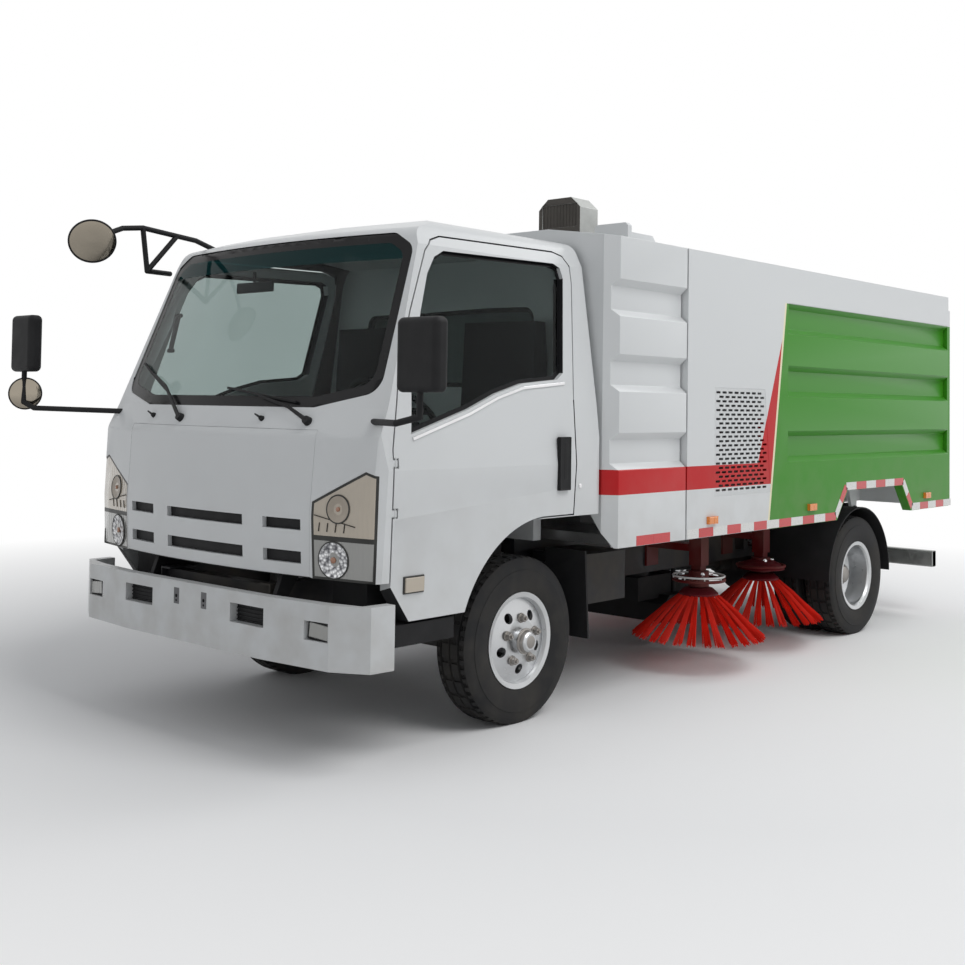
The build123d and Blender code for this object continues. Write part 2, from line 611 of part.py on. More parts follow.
def cab_side(inset):
    """Side view of the cab's form, moved in by inset; it runs on behind the rear wall."""
    with BuildSketch(Plane.XZ) as view:
        make_face(side_outline(*[(x, z) for x, z, _ in CAB_SIDE]))
        for x, z, radius in CAB_SIDE:
            if radius:
                fillet(view.vertices().sort_by_distance((ax(x), z, 0))[0], radius)
        if inset:
            offset(amount=-inset, kind=Kind.INTERSECTION, mode=Mode.REPLACE)
    return view.sketch


def cab_front(inset):
    """Front view of the cab's form, moved in by inset, with rounded roof sides."""
    with BuildSketch(Plane.YZ.offset(ax(-CAB_BOX / 2))) as view:
        make_face(closed(*both_sides(CAB_FRONT)))
        shoulders = view.vertices().filter_by(lambda v: 2200 < v.Y < 2300)
        fillet(shoulders, SHOULDER_R)
        if inset:
            offset(amount=-inset, kind=Kind.INTERSECTION, mode=Mode.REPLACE)
    return view.sketch


def cab_plan(inset):
    """Plan of the cab's form, moved in by inset: a flat rear and rounded front corners."""
    half = CAB_HALF_W + 5
    with BuildSketch(Plane.XY) as view:
        make_face(closed((ax(CAB_REAR), -half), (ax(1010), -half), (ax(1250), -875), (ax(1250), 875), (ax(1010), half), (ax(CAB_REAR), half)))
        if inset:
            offset(amount=-inset, kind=Kind.INTERSECTION, mode=Mode.REPLACE)
    return view.sketch


@cache
def cab_solid(inset):
    """The cab's outer form moved in by inset: its bent side view crossed with its front and plan."""
    with BuildPart() as solid:
        bend = Axis((ax(CAB_SIDE[8][0]) - FRONT_BEND_R, 0, 0), (0, 0, 1))
        side_view = cab_side(inset)
        revolve(side_view, axis=bend, revolution_arc=20)
        revolve(side_view, axis=bend, revolution_arc=-20)
        extrude(cab_front(inset), amount=CAB_BOX, mode=Mode.INTERSECT)
        extrude(cab_plan(inset), amount=CAB_BOX, mode=Mode.INTERSECT)
    return solid.part


@cache
def layer(outer, inner):
    """The sheet of the cab's form between two insets."""
    with BuildPart() as sheet:
        add(cab_solid(outer))
        add(cab_solid(inner), mode=Mode.SUBTRACT)
    return sheet.part


def door_outline(grow):
    """Side outline of the door, with the wheel arch cut from its lower rear corner."""
    with BuildSketch(Plane.XZ) as face:
        with BuildLine() as outline:
            Polyline((ax(545), CAB_SILL_Z), (ax(990), CAB_SILL_Z), (ax(985), 1284), (ax(933), 1545), (ax(826), 1850),
                     (ax(701), 2121), (ax(655), 2170), (ax(590), 2192), (ax(-200), 2205), (ax(-265), 2190),
                     (ax(-296), 2140), (ax(-298), 2060), (ax(-217), 1500), (ax(-190), AXLE_Z + ARCH_R), (ax(0), AXLE_Z + ARCH_R))
            RadiusArc((ax(0), AXLE_Z + ARCH_R), (ax(545), CAB_SILL_Z), ARCH_R)
        make_face(outline.edges())
        if grow:
            offset(amount=grow, kind=Kind.INTERSECTION, mode=Mode.REPLACE)
    return face.sketch


def door_window(inset):
    """Side outline of the door glass: its sill drops towards the front."""
    with BuildSketch(Plane.XZ) as face:
        make_face(side_outline(
            (880, 1345), (862, 1520), (766, 1854), (704, 2022), (650, 2100), (590, 2131), (-174, 2148), (-222, 2130),
            (-238, 2080), (-160, 1624), (-112, 1592), (147, 1568), (330, 1520), (520, 1450)))
        if inset:
            offset(amount=-inset, kind=Kind.INTERSECTION, mode=Mode.REPLACE)
    return face.sketch


def yz_prism(points, x0, x1, inset=0, radius=0):
    """Prism along X over an outline of (Y, Z) points, between x0 and x1 ahead of the front axle."""
    with BuildPart() as prism:
        with BuildSketch(Plane.YZ.offset(ax(x0))) as face:
            make_face(closed(*points))
            if radius:
                fillet(face.vertices(), radius)
            if inset:
                offset(amount=-inset, kind=Kind.INTERSECTION, mode=Mode.REPLACE)
        extrude(face.sketch, amount=x1 - x0)
    return prism.part


SCREEN = both_sides(((600, 1448), (912, 1516), (852, 2140), (740, 2205)))
REAR_WINDOW = both_sides(((620, 1560), (600, 1960)))
PANEL = both_sides(((660, CAB_FRONT_Z + 3), (663, 957), (671, 1357)))
LAMP = ((674, 742), (672, 1066), (930, 1196), (982, 1180), (978, 742))
LAMP_RIGHT = tuple((-y, z) for y, z in LAMP)
PANEL_T = 22.0
GRILLE_T = 6.0
LAMP_T = 38.0
LAMP_REAR = 1046.0             # where the lamps' side ends stop
GLASS_T = 6.0
SCREEN_R = 75.0
REAR_WINDOW_R = 60.0
SCREEN_IN = 4.0
SIDE_GLASS_IN = 20.0
STEP = ((600.0, 965.0), (620.0, 828.0), (490.0, CAB_FRONT_Z))
EAR_Y = (438.0, 462.0)

# what the cab's shell loses: its room, the door openings, the recesses in its front
with BuildPart() as cab_room:
    add(cab_solid(CAB_WALL))
    with BuildSketch(Plane.XZ) as under:
        make_face(side_outline((CAB_REAR - 50, 400), (CAB_REAR - 50, CAB_FLOOR_Z + FLOOR_SHEET),
                               (FOOTWELL_REAR + FLOOR_SHEET, CAB_FLOOR_Z + FLOOR_SHEET),
                               (FOOTWELL_REAR + FLOOR_SHEET, CAB_FRONT_Z + FLOOR_SHEET), (1300, CAB_FRONT_Z + FLOOR_SHEET), (1300, 400)))
    extrude(under.sketch, amount=CAB_HALF_W + 100, both=True, mode=Mode.SUBTRACT)

with BuildPart() as door_openings:
    extrude(door_outline(GAP), amount=CAB_HALF_W + 100, both=True)
    add(layer(-20, DOOR_T + GAP), mode=Mode.INTERSECT)
    with BuildSketch(Plane.YZ.offset(ax(-CAB_BOX / 2))) as bounds:
        for side in (1, -1):
            make_face(closed((side * 840, 500), (side * 840, 1480), (side * 735, 2240), (side * 1200, 2240), (side * 1200, 500)))
    extrude(bounds.sketch, amount=CAB_BOX, mode=Mode.INTERSECT)

with BuildPart() as panel_recess:
    add(yz_prism(PANEL, 1000, 1300))
    add(layer(-5, PANEL_T + GRILLE_T + 4), mode=Mode.INTERSECT)

with BuildPart() as lamp_pockets:
    add(yz_prism(LAMP, LAMP_REAR - 1, 1300))
    add(yz_prism(LAMP_RIGHT, LAMP_REAR - 1, 1300))
    add(layer(-5, LAMP_T + 2), mode=Mode.INTERSECT)

with BuildPart() as cab_shell:
    add(cab_solid(0))
    # floor line: raised over the engine and wheels, lower in the footwell
    with BuildSketch(Plane.XZ) as below:
        make_face(side_outline((CAB_REAR - 50, 400), (CAB_REAR - 50, CAB_FLOOR_Z), (FOOTWELL_REAR, CAB_FLOOR_Z),
                               (FOOTWELL_REAR, CAB_FRONT_Z), (1300, CAB_FRONT_Z), (1300, 400)))
    extrude(below.sketch, amount=CAB_HALF_W + 100, both=True, mode=Mode.SUBTRACT)
    add(cab_room.part, mode=Mode.SUBTRACT)
    add(door_openings.part, mode=Mode.SUBTRACT)
    add(yz_prism(SCREEN, 540, 1400, radius=SCREEN_R), mode=Mode.SUBTRACT)
    add(yz_prism(REAR_WINDOW, -500, -300, radius=REAR_WINDOW_R), mode=Mode.SUBTRACT)
    add(panel_recess.part, mode=Mode.SUBTRACT)
    add(lamp_pockets.part, mode=Mode.SUBTRACT)
    # hinge lugs of the doors, reaching back from the front pillars
    for side in (1, -1):
        for z in HINGE_Z:
            with BuildSketch(Plane.XY.offset(z - HINGE_H / 2)) as lug:
                with Locations((ax((HINGE_X + 1010) / 2), side * (HINGE_Y - 2))):
                    Rectangle(1010 - HINGE_X, 12)
                with Locations((ax(HINGE_X), side * HINGE_Y)):
                    Circle(HINGE_R)
                    Circle(HINGE_PIN_R + PIN_CLEARANCE, mode=Mode.SUBTRACT)
            extrude(lug.sketch, amount=HINGE_H)
    # entry steps behind the door bottoms, tilt ears on the front floor, seat plinths
    for side in (1, -1):
        bar_box(STEP[0], sorted((side * STEP[1][0], side * STEP[1][1])), (STEP[2][0], STEP[2][1] + 2))
        bar_box(STEP[0], sorted((side * STEP[1][0], side * 975)), (STEP[2][0], 578))
        with BuildSketch(Plane.XZ.offset(-side * EAR_Y[0])) as ear:
            with BuildLine() as outline:
                Polyline((ax(CAB_TILT_X - 30), CAB_TILT_Z - 8), (ax(CAB_TILT_X - 130), CAB_FRONT_Z + 2),
                         (ax(CAB_TILT_X - 30), CAB_FRONT_Z + 2), (ax(CAB_TILT_X + 14), CAB_TILT_Z + 26))
                ThreePointArc((ax(CAB_TILT_X + 14), CAB_TILT_Z + 26), (ax(CAB_TILT_X + 12), CAB_TILT_Z - 28),
                              (ax(CAB_TILT_X - 30), CAB_TILT_Z - 8))
            make_face(outline.edges())
            with Locations((ax(CAB_TILT_X), CAB_TILT_Z)):
                Circle(TILT_PIN_R + PIN_CLEARANCE, mode=Mode.SUBTRACT)
        extrude(ear.sketch, amount=-side * (EAR_Y[1] - EAR_Y[0]))
        bar_box((-330, 180), sorted((side * 230, side * 720)), (CAB_FLOOR_Z + FLOOR_SHEET - 1, 1110))
save(cab_shell.part, "cab_shell")

SLOT_ROWS = ((945.0, 990.0), (808.0, 858.0))
SLOT_COLUMNS = ((-615.0, -400.0), (-275.0, 275.0), (400.0, 615.0))

with BuildPart() as front_panel:
    add(yz_prism(PANEL, 1000, 1300, inset=1))
    add(layer(0, PANEL_T), mode=Mode.INTERSECT)
    with BuildSketch(Plane.YZ.offset(ax(1000))):
        for z0, z1 in SLOT_ROWS:
            for y0, y1 in SLOT_COLUMNS:
                with Locations(((y0 + y1) / 2, (z0 + z1) / 2)):
                    Rectangle(y1 - y0, z1 - z0)
    extrude(amount=300, mode=Mode.SUBTRACT)
save(front_panel.part, "front_panel")

GRILLE_IN = PANEL_T + 1
with BuildPart() as grille:
    add(yz_prism(both_sides(((640, 780), (640, 1020))), 1000, 1300))
    add(layer(GRILLE_IN, GRILLE_IN + GRILLE_T), mode=Mode.INTERSECT)
save(grille.part, "grille")

with BuildPart() as headlamps:
    add(yz_prism(LAMP, LAMP_REAR, 1300, inset=1))
    add(yz_prism(LAMP_RIGHT, LAMP_REAR, 1300, inset=1))
    add(layer(0, LAMP_T), mode=Mode.INTERSECT)
save(headlamps.part, "headlamps")

with BuildPart() as windscreen:
    add(yz_prism(SCREEN, 540, 1400, inset=SEAT_GAP, radius=SCREEN_R))
    add(layer(SCREEN_IN, SCREEN_IN + GLASS_T), mode=Mode.INTERSECT)
save(windscreen.part, "windscreen")

with BuildPart() as rear_window:
    add(yz_prism(REAR_WINDOW, -500, -300, inset=SEAT_GAP, radius=REAR_WINDOW_R))
    add(layer(SIDE_GLASS_IN, SIDE_GLASS_IN + GLASS_T), mode=Mode.INTERSECT)
save(rear_window.part, "rear_window")

DOOR_FOOT_Z = 800.0            # below this the leaf has no return over the cab's floor
DOOR_BOUNDS = ((930, 500), (930, DOOR_FOOT_Z), (845, DOOR_FOOT_Z), (845, 1480), (740, 2240), (1200, 2240), (1200, 500))
HANDLE = ((-140.0, -70.0), (1085.0, 1320.0))


def door(side, hand):
    """Door leaf with its window cut, and its glass."""
    bounds = tuple((side * y, z) for y, z in DOOR_BOUNDS)
    with BuildPart() as inner:
        extrude(door_outline(-DOOR_STEP), amount=-side * (CAB_HALF_W + 100))
        add(layer(DOOR_SKIN - 1, DOOR_T), mode=Mode.INTERSECT)
    with BuildPart() as leaf:
        extrude(door_outline(0), amount=-side * (CAB_HALF_W + 100))
        add(layer(0, DOOR_SKIN), mode=Mode.INTERSECT)
        add(inner.part)
        add(yz_prism(bounds, -CAB_BOX / 2, CAB_BOX / 2), mode=Mode.INTERSECT)
        # pockets and pins of the two hinges in the front edge
        for z in HINGE_Z:
            bar_box((HINGE_X - HINGE_R - GAP, 995), sorted((side * (HINGE_Y - HINGE_R - GAP), side * (HINGE_Y + 20))),
                    (z - HINGE_H / 2 - GAP, z + HINGE_H / 2 + GAP), mode=Mode.SUBTRACT)
            with BuildSketch(Plane.XY.offset(z - HINGE_H / 2 - 2 * GAP)) as pin:
                with Locations((ax(HINGE_X), side * HINGE_Y)):
                    Circle(HINGE_PIN_R)
            extrude(pin.sketch, amount=HINGE_H + 4 * GAP)
        extrude(door_window(0), amount=-side * (CAB_HALF_W + 100), mode=Mode.SUBTRACT)
        bar_box(HANDLE[0], sorted((side * (CAB_HALF_W - 12), side * (CAB_HALF_W + 14))), HANDLE[1])
    save(leaf.part, f"door_{hand}")
    with BuildPart() as pane:
        extrude(door_window(SEAT_GAP), amount=-side * (CAB_HALF_W + 100))
        add(layer(SIDE_GLASS_IN, SIDE_GLASS_IN + GLASS_T), mode=Mode.INTERSECT)
    save(pane.part, f"door_glass_{hand}")


door(1, "left")
door(-1, "right")

SEAT_Y = 480.0
with BuildPart() as seats:
    for side in (1, -1):
        bar_box((-320, 190), (side * SEAT_Y - 245, side * SEAT_Y + 245), (1110 + SEAT_GAP, 1230))
        with BuildSketch(Plane.XZ.offset(-side * SEAT_Y - 235)) as back:
            make_face(side_outline((-315, 1230), (-200, 1230), (-225, 1700), (-235, 1880), (-310, 1880), (-330, 1700)))
        extrude(back.sketch, amount=470)
save(seats.part, "seats")

COLUMN_FOOT = Vector(ax(1005), SEAT_Y, 762)
WHEEL_CENTRE = Vector(ax(490), SEAT_Y, 1440)
COLUMN_DIR = (WHEEL_CENTRE - COLUMN_FOOT).normalized()
COLUMN_SHAFT_R = 12.0
DASH_HALF = 890.0

with BuildPart() as dashboard:
    with BuildSketch(Plane.XZ) as face:
        make_face(side_outline((760, 1250), (740, 1390), (860, 1440), (1130, 1440), (1200, 1250), (1200, 1050), (960, 1050)))
    extrude(face.sketch, amount=DASH_HALF, both=True)
    add(cab_solid(CAB_WALL + SEAT_GAP), mode=Mode.INTERSECT)
    bar_box((650, 745), (SEAT_Y - 45, SEAT_Y + 45), (1252, 1300))
    with BuildSketch(Plane(origin=COLUMN_FOOT, x_dir=(0, 1, 0), z_dir=COLUMN_DIR)) as tube:
        Circle(30)
    extrude(tube.sketch, amount=(WHEEL_CENTRE - COLUMN_FOOT).length - 20)
    with BuildSketch(Plane(origin=WHEEL_CENTRE - COLUMN_DIR * 30, x_dir=(0, 1, 0), z_dir=COLUMN_DIR)) as shaft:
        Circle(COLUMN_SHAFT_R)
    extrude(shaft.sketch, amount=24)
    with Locations((COLUMN_FOOT.X, SEAT_Y, CAB_FRONT_Z + FLOOR_SHEET + SEAT_GAP - 50)):
        Box(200, 200, 100, mode=Mode.SUBTRACT)
save(dashboard.part, "dashboard")

RIM_R = 215.0
with BuildPart() as steering_wheel:
    rim_plane = Plane(origin=WHEEL_CENTRE, x_dir=(0, 1, 0), z_dir=COLUMN_DIR)
    with BuildSketch(Plane(origin=WHEEL_CENTRE, x_dir=(0, 1, 0), z_dir=COLUMN_DIR.cross(Vector(0, 1, 0)))) as bead:
        with Locations((RIM_R, 0)):
            Circle(14)
    revolve(bead.sketch, axis=Axis(WHEEL_CENTRE, COLUMN_DIR))
    with BuildSketch(rim_plane.offset(-14)) as hub:
        Circle(55)
        for angle in (0, 180, 90):
            with Locations(Rotation(0, 0, angle)):
                with Locations((RIM_R / 2, 0)):
                    Rectangle(RIM_R - 4, 26)
    extrude(hub.sketch, amount=18)
    with BuildSketch(rim_plane.offset(-15)) as bore:
        Circle(COLUMN_SHAFT_R + PIN_CLEARANCE)
    extrude(bore.sketch, amount=11, mode=Mode.SUBTRACT)
save(steering_wheel.part, "steering_wheel")

#            mirror housing: centre ahead of front axle, y, z;  width, height
MIRROR_LEFT = (1137.0, 1290.0, 1655.0, 220.0, 285.0)
MIRROR_RIGHT = (1310.0, -1345.0, 1745.0, 200.0, 285.0)
ROUND_MIRROR = (1310.0, -1345.0, 1492.0, 82.0)
FRONT_MIRROR = (1310.0, -750.0, 2220.0, 112.0)
BRACKET_TOP = (1015.0, -780.0, 2320.0)
BRACKET_FOOT = (985.0, -780.0, 2108.0)
ARM_TUBE_R = 13.0


def tube(*points):
    """Round tube along straight runs, with a ball at each corner."""
    with BuildPart() as run:
        for start, end in zip(points, points[1:]):
            a = Vector(ax(start[0]), start[1], start[2])
            b = Vector(ax(end[0]), end[1], end[2])
            with BuildSketch(Plane(origin=a, z_dir=b - a)) as circle:
                Circle(ARM_TUBE_R)
            extrude(circle.sketch, amount=(b - a).length)
        for x, y, z in points[1:-1]:
            with Locations((ax(x), y, z)):
                Sphere(ARM_TUBE_R)
    return run.part


def housing(x, y, z, width, height):
    with BuildPart() as shell:
        with Locations((ax(x), y, z)):
            Box(75, width, height)
        fillet(shell.edges(), 26)
    return shell.part


def round_head(x, y, z, radius, direction):
    with BuildPart() as head:
        with BuildSketch(Plane(origin=(ax(x), y, z), z_dir=direction)) as disc:
            Circle(radius)
        extrude(disc.sketch, amount=-30, taper=25)
    return head.part


with BuildPart() as mirrors:
    add(housing(*MIRROR_LEFT))
    add(tube((1000, 860, 1395), (1160, 1180, 1395), (1145, 1290, 1420), (1145, 1290, 1530)))
    add(housing(*MIRROR_RIGHT))
    add(tube((1000, -860, 1410), (1290, -1290, 1420), (1318, -1345, 1450), (1318, -1345, 1620)))
    add(round_head(*ROUND_MIRROR, direction=(0.42, 0.9, -0.1)))
    # triangular bracket from the roof's corner for the front mirror
    add(tube((540, -775, 2240), (700, -780, 2290), BRACKET_TOP, (1130, -778, 2305), (1290, -764, 2238)))
    add(tube(BRACKET_TOP, BRACKET_FOOT, (780, -885, 2118)))
    add(tube(BRACKET_FOOT, (815, -780, 2301)))
    add(round_head(*FRONT_MIRROR, direction=(0.42, 0.75, -0.5)))
    add(cab_solid(-SEAT_GAP), mode=Mode.SUBTRACT)
save(mirrors.part, "mirrors")

WIPER_IN = -14.0
WIPERS = (((-300, 1415), (-90, 1500), (330, 1640)), ((360, 1415), (520, 1490), (690, 1700)))
with BuildPart() as wipers:
    with BuildSketch(Plane.YZ.offset(ax(900))) as arms:
        for pivot, elbow, tip in WIPERS:
            for a, b, width in ((pivot, elbow, 20), (elbow, tip, 16)):
                across = Vector(a[1] - b[1], b[0] - a[0]).normalized() * (width / 2)
                make_face(closed(Vector(*a) + across, Vector(*b) + across, Vector(*b) - across, Vector(*a) - across))
            with Locations(pivot):
                Circle(22)
    extrude(arms.sketch, amount=400)
    add(layer(WIPER_IN, -SEAT_GAP), mode=Mode.INTERSECT)
save(wipers.part, "wipers")

# ---------------------------------------------------------------- body: module and hopper
def body_section(inset):
    """Cross-section of the body in Y and Z: flat sides and a low-crowned roof."""
    half = BODY_HALF_W - inset
    flat = BODY_HALF_W - ROOF_SLOPE_W
    return closed((half, BODY_BOTTOM), (half, BODY_TOP - inset), (flat, BODY_TOP + ROOF_RISE - inset),
                  (-flat, BODY_TOP + ROOF_RISE - inset), (-half, BODY_TOP - inset), (-half, BODY_BOTTOM))


def bands(x0, x1):
    """The pressed-in bands of both sides, as cutting prisms between x0 and x1."""
    with BuildPart() as prisms:
        with BuildSketch(Plane.YZ.offset(ax(x0))) as face:
            for centre in BAND_CENTRES:
                flat = BAND_FLAT / 2
                edge = flat + BAND_SLOPE
                for side in (1, -1):
                    y = side * BODY_HALF_W
                    deep = side * (BODY_HALF_W - BAND_DEPTH)
                    make_face(closed((y + side, centre + edge), (y, centre + edge), (deep, centre + flat),
                                     (deep, centre - flat), (y, centre - edge), (y + side, centre - edge)))
        extrude(face.sketch, amount=x1 - x0)
    return prisms.part


MODULE_NOSE = 44.0             # plan chamfer of the module's front corners
NOTCH = ((1032.0, BODY_BOTTOM), (860.0, 1015.0), (560.0, 1015.0), (560.0, BODY_BOTTOM))
with BuildPart() as front_module:
    with BuildSketch(Plane.YZ.offset(ax(MODULE_REAR))) as outer:
        make_face(body_section(0))
    extrude(outer.sketch, amount=MODULE_FRONT + MODULE_NOSE - MODULE_REAR)
    nose = [edge for edge in front_module.edges().filter_by(Axis.Z) if edge.center().X > ax(MODULE_FRONT)]
    chamfer(nose, length=MODULE_NOSE, length2=MODULE_NOSE + 26)
    with BuildSketch(Plane.YZ.offset(ax(MODULE_REAR + BODY_WALL))) as inner:
        make_face(body_section(BODY_WALL))
        with Locations((0, BODY_BOTTOM)):
            Rectangle(2 * (BODY_HALF_W - BODY_WALL), 4 * BODY_WALL)
    extrude(inner.sketch, amount=MODULE_FRONT + MODULE_NOSE - MODULE_REAR - 2 * BODY_WALL, mode=Mode.SUBTRACT)
    add(bands(MODULE_REAR - 1, MODULE_FRONT + MODULE_NOSE + 1), mode=Mode.SUBTRACT)
    # front wheel clearance in the lower front corners
    for side in (1, -1):
        add(yz_prism(tuple((side * y, z) for y, z in NOTCH), MODULE_FRONT - 20, MODULE_FRONT + 100), mode=Mode.SUBTRACT)
save(front_module.part, "front_module")

AUX_ENGINE = ((-1000.0, -560.0), (-420.0, 420.0), (BODY_BOTTOM, 1500.0))
with BuildPart() as aux_engine:
    bar_box(*AUX_ENGINE)
    bar_box((AUX_ENGINE[0][0], AUX_ENGINE[0][1]), (-940, 940), (BODY_BOTTOM, BODY_BOTTOM + 50))
save(aux_engine.part, "aux_engine")

ROOF_SEAT_Z = BODY_TOP + ROOF_RISE + SEAT_GAP
HOOD = ((-810.0, -655.0), (385.0, 660.0), 2560.0)
SMALL_BOX = ((-900.0, -700.0), (720.0, 930.0), 2405.0)
with BuildPart() as roof_hood:
    with BuildSketch(Plane.YZ.offset(ax(HOOD[0][0]))) as face:
        y0, y1 = HOOD[1]
        make_face(closed((y0, ROOF_SEAT_Z), (y0, HOOD[2] - 55), (y0 + 60, HOOD[2]), (y1 - 60, HOOD[2]), (y1, HOOD[2] - 55), (y1, ROOF_SEAT_Z)))
    extrude(face.sketch, amount=HOOD[0][1] - HOOD[0][0])
    with BuildSketch(Plane.YZ.offset(ax(HOOD[0][1] - 110))) as mouth:
        with Locations(((y0 + y1) / 2, HOOD[2] - 95)):
            Rectangle(y1 - y0 - 50, 120)
    extrude(mouth.sketch, amount=120, mode=Mode.SUBTRACT)

with BuildPart() as roof_box:
    with BuildSketch(Plane.YZ.offset(ax(SMALL_BOX[0][0]))) as face:
        y0, y1 = SMALL_BOX[1]
        crown = ROOF_RISE / ROOF_SLOPE_W
        make_face(closed((y0, BODY_TOP + (BODY_HALF_W - y0) * crown + SEAT_GAP), (y0, SMALL_BOX[2]), (y1, SMALL_BOX[2]),
                         (y1, BODY_TOP + (BODY_HALF_W - y1) * crown + SEAT_GAP)))
    extrude(face.sketch, amount=SMALL_BOX[0][1] - SMALL_BOX[0][0])
    chamfer(roof_box.edges().filter_by(Axis.X).group_by(Axis.Z)[-1], 14)

with BuildPart() as roof_fittings:
    add(roof_hood.part)
    add(roof_box.part)
save(roof_fittings.part, "roof_hood")

INNER_FLOOR = FLOOR_Z + FLOOR_T
BEARER_W = 60.0
PARTITION_X = -2165.0
APERTURE_TOP = 2160.0
GATE_PIN_Z = 2235.0
GATE_PIN_X = HOPPER_REAR - 30.0
GATE_T = 50.0
CYLINDER_Y = 235.0
CYLINDER_BASE = (-3150.0, 500.0)
CYLINDER_EYE = (-2200.0, 840.0)
DUCT_X = -1850.0
DUCT_Y = 190.0
DUCT_R = 101.0
VENT = ((-1350.0, 995.0), (-1350.0, 1580.0), (-1893.0, 1580.0), (-1962.0, 995.0))
VENT_T = 3.0
VENT_IN = 1.0                  # the sheet's face lies this far inside the side panel's
SLOT_ROWS_Z = (1028.0, 1555.0, 23)     # lowest row, highest row, rows
SLOT_PITCH = 63.0
SLOT_L = 44.0
SLOT_H = 12.0
HUMP_X = (-1560.0, -1130.0)
HUMP_Y = (120.0, 560.0)
HUMP_H = 88.0


def vent_prisms(inset):
    """Both sides' vent outlines as prisms through the side walls, moved in by inset."""
    with BuildPart() as prisms:
        for side in (1, -1):
            with BuildSketch(Plane.XZ.offset(-side * (BODY_HALF_W - BODY_WALL - 1))) as face:
                make_face(side_outline(*VENT))
                if inset:
                    offset(amount=-inset, kind=Kind.INTERSECTION, mode=Mode.REPLACE)
            extrude(face.sketch, amount=-side * (BODY_WALL + 2))
    return prisms.part


# wheel arches in the hopper's skirts
with BuildPart() as arch_cut:
    with BuildSketch(Plane.XZ) as arch:
        make_face(closed((REAR_AXLE_X - ARCH_HALF, BODY_BOTTOM - 1), (REAR_AXLE_X - ARCH_TOP_HALF, FLOOR_Z),
                         (REAR_AXLE_X + ARCH_TOP_HALF, FLOOR_Z), (REAR_AXLE_X + ARCH_HALF, BODY_BOTTOM - 1)))
    extrude(arch.sketch, amount=BODY_HALF_W + 10, both=True)
    with Locations((REAR_AXLE_X, 0, FLOOR_Z - 100)):
        Box(2000, 2 * RAIL_OUT + 10, 400, mode=Mode.SUBTRACT)

